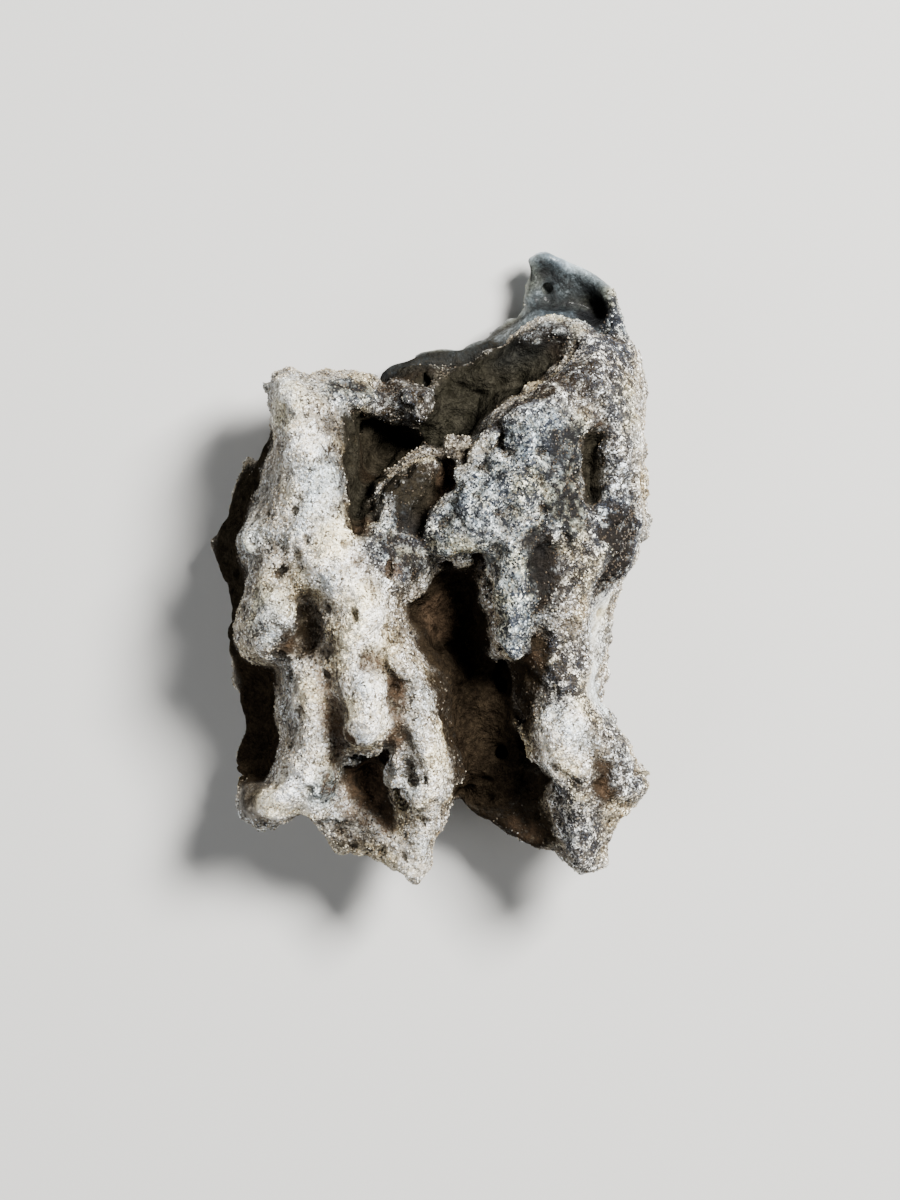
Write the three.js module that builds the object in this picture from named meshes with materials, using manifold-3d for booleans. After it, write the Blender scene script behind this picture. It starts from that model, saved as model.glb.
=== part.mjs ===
// A fulgurite: quartz sand that a lightning stroke fused into one rough, flattened glass tube.
// This fragment is broken off at both ends and lies on its back, so +Y runs along the tube and
// +Z points up through its rough front. The glass froze as a flat tube with a lens-shaped bore,
// with lumpy ridges of half-melted sand along its front, hollows between them, and ragged feet
// and spurs where it broke. It froze as one piece, so it is one closed body.
//
// The shape is worked out as a field of depths below the surface. Glass fills the space between
// a smooth back sheet and a lumpy front sheet that meet round one outline, and the bore, the
// undercuts and a few thin lips are let into it. The surface is then drawn through the points of
// a grid where that depth is zero, and the lowest ridges are ground flat where the piece rests.
import * as THREE from 'three';
import { mergeVertices } from 'three/addons/utils/BufferGeometryUtils.js';
import Module from 'manifold-3d';

// ---- driving dimensions, millimetres -------------------------------------------------------
const CELL = 1.6;            // spacing of the grid that the surface is drawn on
const FIELD_LOW = new THREE.Vector3(-25, -34, -2);
const FIELD_HIGH = new THREE.Vector3(25, 34.4, 32);
const CRUST = 0.25;          // thickness of the grains that stand out of the glass
const BASE_LEVEL = 0.9;      // height at which the back ridges are worn flat
const OUTSIDE = 6;           // field value far from the glass
const CELL_MARGIN = 0.06;    // how near a vertex may come to its cell's sides, in cells
const SLOPE_STEP = 0.05;     // step over which the field's slope is taken
const FILL = 0.3;            // field value given to crumbs and pinched gaps, just past the surface
const STIFFNESS = 0.8;       // how sharply a sheet may bend at one of its points
const SLACK = 0.3;           // how far it may pass its points by, so that it doesn't buckle
const STEEPEST = 3.5;        // steepest slope that the sheets' depth allows for
const BULGE = 0.01;          // how much the sides draw in above and below their middle
const SHEET_MELT = 0.6;      // rounding where the front sheet meets the back sheet
const SIDE_MELT = [0.6, 3];  // rounding along the outline, for thin and for thick glass
const RIDGE_MELT = 0.6;      // how far a lip runs into the glass beside it
const CUT_MELT = 0.8;        // rounding at the lip of a hollow
const BORE_HALF = 1.5;       // half the height of the bore

// ---- the shape ----------------------------------------------------------------------------------
// The outline, seen from the front, as [x, y] from the shoulder's top corner round by the finger,
// the right side, the feet and the wing. The sheets' points are [x, y, height].
const OUTLINE = [
  [-16.6, 18.1], [-15.8, 19.4], [-14, 19.8], [-12.5, 19.3], [-10, 19.1], [-8.2, 19.4], [-6.5, 19.1],
  [-5.6, 18.9], [-5, 19.7], [-4.2, 20.4], [-2.7, 20.6], [-1.3, 21.3], [0.7, 21.6], [3, 21.7], [5.3, 22.9],
  [7, 23.9], [8.7, 24.9], [9.5, 25.9], [10, 27.3], [10.3, 28.9], [10.3, 30.6], [11, 31.1], [12, 31.3],
  [12.8, 30.9], [14, 30.4], [15.7, 30.1], [17, 29.6], [17.8, 28.9], [18.5, 27.9], [19, 25.9],
  [19.7, 23.6], [20.7, 21.6], [21.4, 19.3], [21.3, 16.1], [21.5, 13.5], [21.5, 9.6], [21.3, 7.3],
  [21.3, 5.8], [21.7, 4.8], [21.8, 3.8], [21.3, 2.5], [20.4, 1.2], [19.8, -0.9], [18.7, -3.2],
  [18.3, -5.3], [17.9, -7.4], [17.7, -9.9], [17.2, -13.1], [17.3, -14.1], [18.3, -15.4], [19.3, -16.7],
  [20, -18.4], [20.7, -20.1], [21.7, -20.7], [22.2, -21.6], [21.8, -22.4], [20.3, -24.6], [18.3, -26.6],
  [17.6, -27.9], [17.4, -29.7], [16.3, -30.5], [15.2, -30.9], [14.3, -30.4], [13.3, -29.1], [11.5, -28.6],
  [10.3, -27.9], [8.3, -27.1], [7, -26.2], [5.2, -25.2], [4.2, -24.1], [3, -23.3], [1.8, -24.2],
  [1.3, -25.4], [1.1, -26.3], [0.4, -27.9], [0.2, -29.1], [-0.3, -30.4], [-1.3, -31.3], [-2.5, -31.4],
  [-3.5, -30.5], [-5, -29.8], [-6.8, -29.1], [-9, -29.1], [-10, -28.6], [-10.6, -27.8], [-11.5, -26.5],
  [-12.5, -25.5], [-13.2, -25], [-15.2, -25.9], [-17, -26.4], [-18.2, -25.9], [-19.4, -24.9],
  [-19.6, -23.6], [-19.6, -21.4], [-19.8, -19.4], [-19.7, -17.4], [-19.2, -16.1], [-18.9, -14.1],
  [-19.2, -13.1], [-19.9, -11.6], [-19.9, -7.9], [-19.7, -5.4], [-20.1, -3.6], [-21, -1.9], [-21.5, -0.1],
  [-22, 1.9], [-22, 2.9], [-20.2, 4.9], [-20, 6.1], [-19.4, 8.1], [-18.4, 9.6], [-17.1, 11.6],
  [-16.5, 12.9],
];

// The front, as the crests, edges and floors that make it up.
const SHOULDER = [
  [-15.2, 19, 17.2], [-13.5, 19.2, 18.2], [-12, 18.7, 18.3], [-15.9, 17.7, 18.4], [-14.2, 17.5, 20.6],
  [-15.7, 16.6, 18.3], [-16.2, 15, 16.8], [-14.8, 15, 20.6], [-13.2, 15.2, 21.9], [-12, 16.4, 21.1],
  [-15.7, 12.8, 19.2], [-14.4, 12.4, 21.6], [-12.6, 12.2, 23], [-10.8, 13.6, 21.9], [-10.6, 11, 23],
  [-14.2, 9.2, 22.4], [-12.4, 9, 24], [-10.4, 8.6, 23.8], [-14.4, 6, 22.8], [-12.2, 6, 24.7],
  [-10.2, 5.8, 24.4], [-13.8, 3.2, 23.8], [-11.8, 3, 25.2], [-9.6, 3.2, 24.9], [-12.6, 0.4, 24.6],
  [-10.6, 0, 25.8], [-8.4, 0.6, 25.2], [-11.8, -2.2, 24.2], [-9.6, -2.4, 26.1], [-7.2, -1.4, 25.6],
];
const FLANK = [
  [-16.5, 12, 13.6], [-15.8, 10.4, 19.6], [-17.1, 9.6, 13.8], [-15.7, 8, 20.4], [-17.6, 7.2, 13.6],
  [-15.9, 6, 20.8], [-18, 5.3, 14.2],
];
const SIDE_KNOB = [
  [-17.9, 3.2, 19.9], [-17.2, 4.3, 19.6], [-18, 1.8, 19.2], [-16.4, 3.2, 20.8], [-15.6, 1.6, 21.8],
  [-15.6, 4.4, 21.6], [-18.9, 2.6, 16.2], [-18.6, 1.1, 15.4], [-18.4, 4.9, 14],
];
const UPPER_LEFT_HOLLOW = [
  [-9.3, 14, 20.6], [-9.1, 11.2, 21.8], [-9, 8.6, 22.9], [-8.8, 6.6, 23.6], [-8.4, 4.6, 24],
  [-7.8, 3.1, 24.1], [-7, 2, 24.2], [-8, 13.2, 18.4], [-7.9, 10.4, 18.6], [-7.8, 8, 19.2], [-7.6, 6, 20],
  [-7.2, 4.2, 20.8], [-6.8, 3.1, 21.6], [-6.8, 12.2, 14.2], [-6.7, 9.6, 14.6], [-6.6, 7.4, 15.8],
  [-6.5, 5.4, 17.6], [-5.6, 10.2, 11.6], [-4.8, 13.2, 8.8], [-4.4, 11.2, 9], [-3.2, 12.8, 8.4],
  [-3.8, 10.6, 10.4], [-2.4, 13.3, 8.8], [-1.9, 11.9, 10.4],
];
const TOP_BAR = [
  [-11.4, 17.6, 20.5], [-10.2, 17.5, 20.1], [-8.8, 17.1, 19.8], [-7.3, 16.9, 19.4], [-6, 16.8, 18.6],
  [-5.3, 16.9, 17.4], [-10, 18.8, 17.6], [-8, 18.9, 17.4], [-6.3, 18.6, 16.4], [-8.1, 18.1, 18],
  [-6.8, 18, 17.6], [-8.7, 15.8, 19.2], [-6.6, 15.5, 18], [-5.1, 15.4, 16.8], [-7.6, 14.8, 16.6],
  [-6.4, 14.4, 13.6], [-4.9, 14.5, 12],
];
const SMALL_LOBE = [
  [-4.5, 16.8, 15.4], [-3.7, 15.7, 15.4], [-2.8, 17.2, 16.2], [-1.9, 16.5, 17], [-0.8, 16.2, 17.2],
  [0.3, 15.6, 16.6], [-1.4, 15, 16.6], [-3, 14.8, 14.6], [-1.9, 13.9, 14.4], [-0.6, 13.7, 14.8],
  [0.8, 14.2, 14.6], [-4.7, 18.4, 12], [-3.6, 18.3, 13.4], [-2.4, 18.8, 12.6], [-1.2, 18.4, 13.4],
  [-3.4, 19.9, 9], [-1.8, 20, 9.2], [-0.5, 19, 11],
];
const FRONT_WALL_EDGE = [
  [0.4, 18.4, 14.4], [2.4, 19, 13.9], [4.3, 19.6, 13.6], [6, 20.8, 13.8], [7.4, 21.9, 14.4],
  [8.9, 22.9, 15.4], [10.4, 23.6, 16.2], [12, 23.9, 16.4], [13.5, 23.5, 16.6], [14.8, 22.8, 17],
  [15.7, 22.2, 17.4],
];
const RECESSED_WALL = [
  [1.4, 16.8, 14.2], [3.2, 17.6, 13.4], [3, 15.5, 13], [5, 17.6, 12.9], [5, 16, 12.6], [7, 19, 13],
  [6.8, 17.6, 12.7], [9, 21, 13.6], [8.8, 19.2, 13], [11, 22.8, 15], [11, 20.8, 13.8], [12.8, 22.4, 15.2],
  [13.2, 21.6, 14.4], [14.8, 21.8, 15.2], [12.5, 20.2, 14.2], [10.7, 18.6, 13.4], [8.7, 17.1, 13],
  [6.6, 15.9, 12.9], [4.6, 14.4, 13], [3, 13, 12.8], [1.4, 12.4, 13], [0.4, 11.6, 13.6],
];
const BACK_RIM = [
  [0.6, 20.6, 8], [3, 20.9, 7.8], [5.4, 22.1, 7.4], [7.6, 23.6, 7.2], [-4.4, 20, 8], [-2.6, 20.5, 8],
];
const FINGER = [
  [11.2, 30.7, 7.4], [12.2, 30.6, 7.4], [11.5, 29.6, 5.8], [10.8, 28.2, 6.8], [10.2, 25.8, 7],
  [12.4, 28.4, 5.9], [12, 25.7, 6.2], [13.4, 27.4, 6.7], [13.5, 25.4, 7.2], [13, 29.8, 7],
  [14.4, 29.4, 7.4], [14.6, 27.8, 6.4], [15.9, 29.3, 8.2], [17.3, 28.3, 9], [18.1, 26.6, 9.8],
  [18.6, 24.6, 11], [16, 27, 6], [15.3, 25.8, 5.6], [16.6, 25.8, 5.2], [16.9, 24.6, 5.4],
  [19.2, 22.8, 13], [20.1, 21, 14.8],
];
const BOSS = [
  [16.4, 20.8, 20.8], [14.8, 19.4, 22.6], [13.3, 18, 23.6], [11.7, 16.8, 24], [10, 15.8, 24.4],
  [8.4, 15.4, 23.8], [7.3, 14.3, 23.4], [6.8, 12.8, 23], [15.4, 17.2, 23], [13.4, 15.4, 24.8],
  [11.4, 13.8, 25.4], [9.2, 12.9, 25.4], [12.8, 11.9, 25.3], [10.6, 10.7, 26], [8.4, 10, 26.2],
  [7, 8.4, 26.2], [5.2, 6.6, 26.2], [3.7, 4.9, 26], [3, 3.2, 25.7], [2.6, 1.7, 24.8], [9.6, 7.2, 26.4],
  [7.2, 5, 26.2], [5.2, 3.2, 25.8], [11.7, 7.7, 25.6], [13.2, 8.2, 24.8], [14, 10, 24.4],
  [14, 12.8, 24.2], [4, 1.6, 24.9], [5.4, 2.1, 25.3], [6.7, 2.4, 25.6], [5.9, 10.6, 23.8],
  [4.8, 8.8, 24.2], [3.4, 7.4, 24.2], [2.2, 5.9, 24.2], [10.8, 4.6, 25.6], [9, 3.4, 26.2],
];
const BOSS_LEFT_GROOVE = [
  [5.4, 13, 15.6], [4.2, 12.4, 18], [4, 11, 20], [2.8, 11.6, 17.2], [2.3, 10.2, 18.2], [2, 8.6, 18.8],
  [1.4, 6.8, 19.6], [0.5, 5.1, 20.2], [0, 3.6, 20.4], [1, 4, 22.6], [1.4, 2.4, 23.2], [1.9, 0.9, 23],
];
const RIGHT_GROOVE = [
  [16.2, 14.6, 22], [15.8, 12.6, 19.6], [16.8, 12.4, 19.4], [15.8, 9.8, 19], [16.7, 9.8, 18.8],
  [15.7, 7.4, 19.8], [16.6, 7.4, 19.6], [16, 5.5, 22.2], [14.9, 13.4, 23.2], [14.8, 10.2, 23.4],
  [14.7, 7.6, 23.8], [17.3, 14.2, 22], [17.4, 11, 21.8], [17.3, 8, 21.8], [17.2, 6.2, 22.2],
];
const PILLAR = [
  [17.9, 18.2, 21.3], [18.8, 15.4, 21.8], [19.2, 12.2, 21.8], [19.2, 9.2, 21.9], [19, 6.8, 22],
  [17.1, 20.8, 19.8], [18.4, 20.8, 18.6], [19.6, 20.8, 15.6], [17.6, 22.4, 17], [20.7, 17.2, 18],
  [20.9, 13, 18.4], [20.9, 9, 18.4], [20.8, 6, 18.6], [16.8, 17.4, 22],
];
const SLANTING_SPUR = [
  [-4.7, 5.5, 22.6], [-3.6, 7, 22.6], [-2.3, 8.3, 22.2], [-0.9, 9.2, 21.6], [0.1, 9.5, 20.6],
  [-5.4, 5.5, 21.2], [-4.5, 7.6, 20.6], [-3, 9.1, 20], [-1.5, 10.1, 19], [-4.6, 8.9, 15.6],
  [-3, 10.3, 14.6], [-1, 11, 14.8], [-2.6, 5.6, 21.6], [-1, 6.8, 20.8], [0.4, 8, 20], [-4.6, 3.5, 22.8],
  [-3.4, 2.3, 23], [-2, 3.7, 21.8], [-0.7, 4.8, 20.8], [-0.9, 2.4, 21.8],
];
const BRIDGE = [
  [-5.6, 1.7, 24.4], [-4.6, 0.6, 24.7], [-3.4, -0.4, 24.4], [-2.2, -1, 23.8], [-1.4, 0.5, 22.8],
  [-1.1, -1.5, 21.6], [-4.8, -1.9, 24.4], [-3, -2.2, 23], [-1.8, -2.5, 21], [-0.4, 0, 20.6],
];
const MAIN_RIDGE = [
  [-6.8, -3.2, 26.2], [-5.8, -5, 26.6], [-5.4, -7, 26.4], [-6.2, -9.2, 25.9], [-4.6, -3.6, 25],
  [-3.8, -4.4, 23.6], [-4, -6.6, 23.8], [-4.1, -8.2, 24], [-2.6, -3.9, 19], [-2.7, -5.8, 19],
  [-2.7, -7.6, 19.2], [-9.2, -4.4, 24.2], [-10.6, -4, 21.8], [-10.8, -6.2, 21.2], [-10.4, -8, 21.2],
  [-8.6, -6.2, 24.8], [-8.3, -8.4, 25.5], [-7.9, -10.4, 25.5],
];
const WHITE_LOBE = [
  [-6.5, -11.4, 26.7], [-6.1, -13.4, 27.4], [-6, -15.4, 27.6], [-6, -16.9, 26.8], [-6.4, -17.9, 24.6],
  [-5.2, -17.2, 25.2], [-8.2, -12.6, 24.6], [-7.9, -15, 24.6], [-7.6, -17, 24], [-5.7, -9.7, 24.4],
  [-4.6, -11.5, 25], [-4.4, -14, 25], [-4.3, -16.3, 24.4], [-6.2, -18.6, 19], [-4.4, -18.4, 19.4],
  [-7.8, -18.2, 20.4],
];
const MIDDLE_ARM = [
  [-3, -9.4, 24.6], [-2.2, -10.6, 24.4], [-1.4, -12.2, 24.2], [-0.9, -14, 24.2], [-0.3, -16.5, 24],
  [0, -19, 23.2], [0.7, -21, 22.4], [0.9, -23, 21.4], [0.2, -25, 20.4], [-0.5, -27, 19],
  [-1.2, -29, 17.6], [-1.8, -30.4, 16.2], [-3.3, -12.2, 23.4], [-3.2, -14.6, 23], [-3, -16.6, 22.4],
  [-2.6, -18, 21.6], [-3.5, -18.9, 21.4], [-3.8, -20.2, 20.8], [-3.6, -21.4, 20.4], [-2.8, -22.5, 20.8],
  [-2, -23.5, 20.4], [-2.3, -19.8, 20.8], [-1.9, -21.2, 20.4], [-3, -24.2, 17.6], [-2.4, -26, 17],
  [-1.9, -27.4, 17.2], [0.5, -12.6, 20.4], [0.6, -15, 20.6], [1.2, -18, 20.6], [2.1, -20.6, 19.8],
  [2.2, -22.4, 18.6], [1.4, -24.8, 17.4], [0.3, -28.2, 16.4], [-0.6, -10.4, 20.6], [1.8, -13, 16.4],
  [2, -15.4, 16.2], [2.8, -18, 15.6], [3.4, -20.6, 15],
];
const LEG = [
  [-12.6, -9.8, 21.6], [-12.4, -11.6, 22.6], [-12, -14, 22.8], [-11.7, -17, 22.4], [-11.9, -19.6, 21.6],
  [-13.8, -10.6, 20.2], [-13.7, -14, 20.4], [-13.5, -17, 20.2], [-14.1, -19.5, 19.8], [-10.8, -11.2, 22],
  [-10.6, -14, 21.8], [-10.6, -17, 21.4], [-10.4, -19.6, 20.6], [-9.7, -11.8, 22.2], [-9.4, -13.6, 21.8],
  [-9.1, -15.6, 21.2], [-9.1, -17.4, 20.6], [-9.7, -18.8, 20.2], [-10, -20.8, 19.4], [-10.1, -22.4, 18.6],
  [-14.8, -10.4, 13], [-14.8, -14, 12.4], [-14.6, -17, 12.6], [-15.6, -19.4, 12.4],
];
const LEFT_FEET = [
  [-13.6, -20.8, 20.6], [-14.8, -21.9, 19.4], [-16, -23.1, 18.8], [-12.4, -22, 20.2], [-11.2, -23.4, 19],
  [-13.4, -23.6, 19], [-15, -24.8, 18.2], [-17, -23.9, 17.2], [-16.8, -25.2, 16.6], [-16, -21, 14.4],
  [-18.7, -21.7, 15], [-19, -23.2, 15], [-18.6, -25, 14.6], [-18, -23.4, 14.4], [-17.6, -25.9, 13.8],
  [-12.9, -24.6, 17.6],
];
const APRON = [
  [-10.5, -25.4, 16.8], [-8.6, -25.6, 15.2], [-9.4, -27.4, 14.6], [-6.8, -27, 14.6], [-4.8, -27.8, 15],
  [-3.4, -28.9, 15.6], [-6, -28.6, 14], [-2.4, -30.2, 15.8],
];
const LOWER_LEFT_HOLLOW = [
  [-8.6, -19.4, 16], [-7.4, -20, 14.8], [-5.4, -19.8, 14.4], [-8.8, -21.6, 15.4], [-8.4, -23.6, 15.2],
  [-6.8, -22.2, 14.2], [-5, -22.2, 14.2], [-6.6, -24.8, 14.6], [-4.8, -24.6, 14.4], [-3.6, -26.2, 15],
];
const NODULE = [
  [-17.6, -5.6, 21], [-16.4, -4.6, 22.2], [-15.3, -5.8, 22.6], [-16.2, -7.3, 21.4], [-14.7, -7.7, 21.8],
  [-14.3, -6, 22.4], [-19, -5.8, 17.4], [-18.3, -7.8, 17], [-16.4, -9, 17.4], [-14.6, -9.4, 18.4],
  [-13.3, -6.2, 21.2], [-13.4, -8, 20.4], [-14, -0.8, 23], [-15.7, -2.2, 22.2], [-14.4, -3, 22.8],
  [-17, -2.8, 21.4], [-17.4, -0.8, 19.4], [-18.2, -3.4, 17.4], [-18, 0, 15.4], [-12.7, -5, 20.8],
  [-12.4, -7, 20], [-12.2, -8.6, 19.8], [-12.8, -3, 22.2],
];
const WING = [
  [-17.9, 10, 9.4], [-19.3, 6.3, 9.2], [-20.8, 3, 8.8], [-20.7, 0, 8.6], [-19.8, -2.6, 8.6],
  [-19.4, -9.2, 8.8], [-18.7, -11, 8.6], [-18, -14, 8.8], [-18.9, -17.4, 9], [-18.7, -20, 10],
  [-16.6, -11, 9.6], [-16.4, -14, 9.8], [-16.4, -17.4, 10.4], [-19.6, 4.4, 9.2], [-20, 1.4, 9],
];
const MIDDLE_HOLLOW = [
  [-0.8, -4, 15.8], [1, -2.4, 14.8], [3, -3, 14], [4.8, -2.6, 14.2], [0, -6, 14.8], [2.6, -6, 13.6],
  [4.6, -5.6, 13], [-0.2, -8.4, 16], [2, -8.8, 14.4], [4.2, -9, 13.2], [5.3, -3, 17], [5.4, -6, 16.8],
  [5.8, -8.9, 16], [1.6, -0.4, 17], [3.8, 0, 17.4], [5.3, 0.2, 17.8], [0, -1.6, 18], [1, -10.4, 17],
  [2, -11.6, 16.4],
];
const LOWER_VALLEY = [
  [4, -12, 14.6], [6, -12, 14.4], [4.4, -15, 14.2], [6, -15, 13.9], [7.2, -14.6, 13.8], [4.8, -18, 13.8],
  [6.4, -18, 13.2], [4.8, -21, 13], [6.6, -21, 12.8], [4, -23, 12.4], [6.4, -24, 11.6],
  [8.4, -25.6, 11.2], [7.6, -10.8, 12.2], [8.9, -10.6, 17.4], [9, -13, 17.2], [8.9, -16, 16.4],
  [9.2, -18.4, 15.2], [8.7, -20, 14.2], [8.7, -22.4, 13.4], [10.4, -21, 12.2], [12, -22.2, 12.8],
  [7.5, -22.6, 12.4], [9.4, -24.2, 12],
];
const TONGUE = [
  [8, 1.6, 26.4], [8, -1, 26.6], [8.2, -4, 26.3], [8.2, -6.6, 25.4], [8.6, -8.6, 23], [6.7, 0, 24.9],
  [6.6, -3, 24.6], [6.9, -6, 23.9], [7.2, -8.2, 22.4], [10, 0.3, 24.8], [10.2, -3, 24.2],
  [10.4, -6, 22.8], [9.8, -8.2, 21.6], [9.6, -9.8, 20], [10.5, -11.4, 19.6],
];
const RIGHT_RIDGE = [
  [10.6, 2, 24], [11, 0.2, 23], [11.2, -1.8, 23.3], [12.4, 3, 25.4], [12.5, -0.4, 24.6], [12.6, -3, 24.6],
  [12.8, -6, 23.6], [12.4, -9, 22.4], [13.4, -11.6, 22], [14.8, 3.2, 24.4], [14.9, 0, 24], [14.9, -4, 23],
  [14.8, -8, 22], [14.8, -11.6, 21.4], [11.6, -13.2, 20.4], [13.5, 1.4, 23.6], [13.5, -0.7, 23.6],
];
const RIGHT_LUMP = [
  [19.9, 4, 21], [18.4, 2.8, 22], [17.7, 0.6, 21.8], [19.2, 1, 20.2], [17.1, -1.6, 20.8],
  [18.1, -1.4, 19.4], [16.6, 3.8, 22.8], [21, 3.7, 17.8], [20, 0.6, 17], [18.7, -2.2, 16.8],
];
const RIGHT_WALL = [
  [16, -5, 20.4], [16.9, -5, 17.8], [17.6, -5.6, 14.6], [15.8, -8, 20], [16.7, -8.4, 16.8],
  [15.7, -11, 19.4], [16.5, -12, 16.2], [17.2, -9, 14.4], [16.8, -13, 14.8],
];
const KNOB = [
  [13, -14.6, 22.6], [12.2, -16.4, 23.4], [13.7, -16, 23.4], [11.7, -18, 22.8], [13.4, -18.4, 22.6],
  [12.6, -19.9, 21.6], [15, -15.2, 21.6], [15.2, -17.4, 21.2], [10.7, -15.4, 20.8], [10.5, -17.6, 20.4],
  [11, -19.5, 19.4], [10, -15.4, 18], [9.8, -17.8, 17], [10.6, -20.2, 15], [12.4, -21.2, 17.4],
];
const RIGHT_FOOT = [
  [13.9, -21, 20.8], [14.4, -23, 20], [15, -25.4, 19.2], [15.4, -27.6, 18.2], [15.4, -29.4, 16.8],
  [12.9, -23, 18], [13, -25.2, 16.6], [13.4, -27.6, 15.4], [11.6, -24.4, 14.2], [8.2, -26.2, 11.2],
  [11, -27.7, 12.6], [13.4, -28.8, 14], [12, -26.2, 13.8], [15.7, -18.7, 21.6], [15.9, -20.6, 21],
  [15.8, -22.8, 20.2], [14.9, -19.8, 20.4],
];
const POINTED_SPUR = [
  [16.8, -16, 20.6], [18, -17.6, 20.2], [19.2, -19.4, 19.2], [20.4, -20.9, 18], [21.4, -21.6, 16.8],
  [19.6, -22.3, 18.2], [18.2, -21, 19.2], [18.4, -23.9, 17.8], [17.2, -25.7, 17.4], [16.6, -27.7, 16.6],
  [16.4, -14.7, 19.8], [17.7, -15.6, 18.2], [16.9, -19.4, 19.4], [17, -21, 19], [16.8, -23, 18.8],
];
const FRONT = [
  ...SHOULDER, ...FLANK, ...SIDE_KNOB, ...UPPER_LEFT_HOLLOW, ...TOP_BAR, ...SMALL_LOBE,
  ...FRONT_WALL_EDGE, ...RECESSED_WALL, ...BACK_RIM, ...FINGER, ...BOSS, ...BOSS_LEFT_GROOVE,
  ...RIGHT_GROOVE, ...PILLAR, ...SLANTING_SPUR, ...BRIDGE, ...MAIN_RIDGE, ...WHITE_LOBE, ...MIDDLE_ARM,
  ...LEG, ...LEFT_FEET, ...APRON, ...LOWER_LEFT_HOLLOW, ...NODULE, ...WING, ...MIDDLE_HOLLOW,
  ...LOWER_VALLEY, ...TONGUE, ...RIGHT_RIDGE, ...RIGHT_LUMP, ...RIGHT_WALL, ...KNOB, ...RIGHT_FOOT,
  ...POINTED_SPUR,
];

// The back: four long low ridges, the troughs between them, and the underside of the wing, the
// finger and the feet.
const BACK = [
  [-4, 16, 3.4], [-4.5, 8, 0.1], [-3, 0, 0], [-5, -8.4, 0], [-3.5, -16, 1.3], [-2.5, -22, 4],
  [13, 17, 3.4], [14.4, 10, 0.3], [12, 0, 0], [13, -9, 0.1], [12, -17, 1.5], [12, -23, 5],
  [4.4, 9.6, 1.5], [5, -3, 1.1], [1.4, -15, 0.6], [-13, 2.6, 3], [-14, -7, 0.6], [-12, -15, 0.4],
  [-11, -21, 4], [0.5, 13, 4.4], [0.5, 3, 4], [1, -8, 3.8], [9.4, 13, 4.4], [9, 3, 4], [9, -6, 3.8],
  [7, -14, 4], [-9, 8, 4.4], [-9, -2, 4.2], [-9.4, -12, 3.8], [5, -21, 5.6], [-21, 2.5, 6], [-20, 6, 6],
  [-17, 11, 6.6], [-20, -3, 5.8], [-19, -9, 5.4], [-18.4, -14, 5.6], [-19, -19, 6], [-18.6, -24, 9],
  [-16, -25, 9.6], [-13, -24.4, 9], [-15.6, 18, 9.6], [-12, 18.4, 8.6], [-8, 18.6, 7.6], [-14, 14, 6.6],
  [-4, 19.8, 5.6], [0, 20.6, 5], [5, 22, 4.6], [9, 24.4, 4.4], [11, 27, 3.8], [11.6, 30.4, 4.6],
  [15, 28.6, 4], [17.4, 28, 5], [18.4, 25, 5.8], [15, 25, 2.6], [19.6, 22, 6.8], [20.6, 18, 8],
  [21, 12, 8.4], [21, 6, 8.4], [21, 3.4, 8.8], [19.4, 0, 7.8], [18, -4, 7.4], [17.4, -9, 7],
  [17, -13, 7.2], [19, -17, 9], [21.6, -21.4, 12.2], [18.6, -25.6, 11], [17, -29, 11],
  [15.2, -30.4, 11.4], [13, -28.6, 9.2], [10, -27, 7.8], [6, -25, 7], [3, -23, 6.6], [1.4, -25, 8],
  [0, -29, 10.4], [-2, -31, 12], [-4, -29.6, 10.6], [-8, -28.6, 9.6], [-10.4, -27, 9],
];

// ---- what is let into the sheets ---------------------------------------------------------------
// Every feature follows a chain of points [x, y, z, radius]. A ridge is a round bar along the
// chain, drawn downwards into a fin by drop. A hollow is the same form taken away, drawn upwards
// by rise. A slot is a flat bar taken away: radius is half its width and thick half its height.
const features = [];

function ridge(points, drop) {
  features.push({ points, down: drop, up: 0, melt: RIDGE_MELT, cut: false });
}

function hollow(points, rise = 0) {
  features.push({ points, down: 0, up: rise, melt: CUT_MELT, cut: true });
}

function slot(points, thick) {
  features.push({ points, down: 0, up: 0, melt: CUT_MELT, cut: true, thick });
}

// The bore, open at the top end, and the deep pocket beside the front wall.
slot([[11, 26.4, 9.4, 5.5], [8, 22.2, 9.2, 7.5], [6, 18.4, 8.9, 7.5], [5, 11.6, 8.6, 6],
  [5, 2.6, 8.4, 4.5]], BORE_HALF);
hollow([[16.7, 25.6, 9.5, 1.4], [16.6, 23, 10.5, 1.4]]);

// Undercuts below the top bar, the white lobe, the boss's lower tip, the tongue and the knob.
hollow([[-6.6, 14.6, 13.4, 1.3], [-4.4, 15, 11.8, 1.5], [-2.4, 14.6, 11, 1.3]]);
hollow([[-7.4, -18.4, 17.5, 1.2], [-5.2, -18.4, 17.2, 1.5], [-3.4, -19.6, 16.4, 1.2]]);
hollow([[1.4, 0.4, 18.6, 1.1], [4, 1.2, 18.8, 1.4], [6.2, 0.2, 19, 1.3], [6.9, -4, 19, 1.2],
  [7.3, -7.6, 18.6, 0.9]]);
hollow([[9.6, -15.6, 15.8, 0.8], [10, -19.6, 14.6, 1], [11.6, -21.6, 14.4, 0.9]]);

// The lips that the boss curls over the groove on its left.
ridge([[6.8, 12.2, 23.2, 0.6], [5.4, 11.2, 22.6, 0.7], [4.6, 9.6, 22.4, 0.8], [3.6, 8.6, 23, 0.8]], 2);
ridge([[1.8, 5.4, 23.6, 0.5], [0.5, 4.7, 23.2, 0.5], [0.1, 3.5, 23, 0.45], [0.8, 2.3, 23.4, 0.5],
  [1.8, 1.2, 23.8, 0.6]], 1.5);

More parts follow.
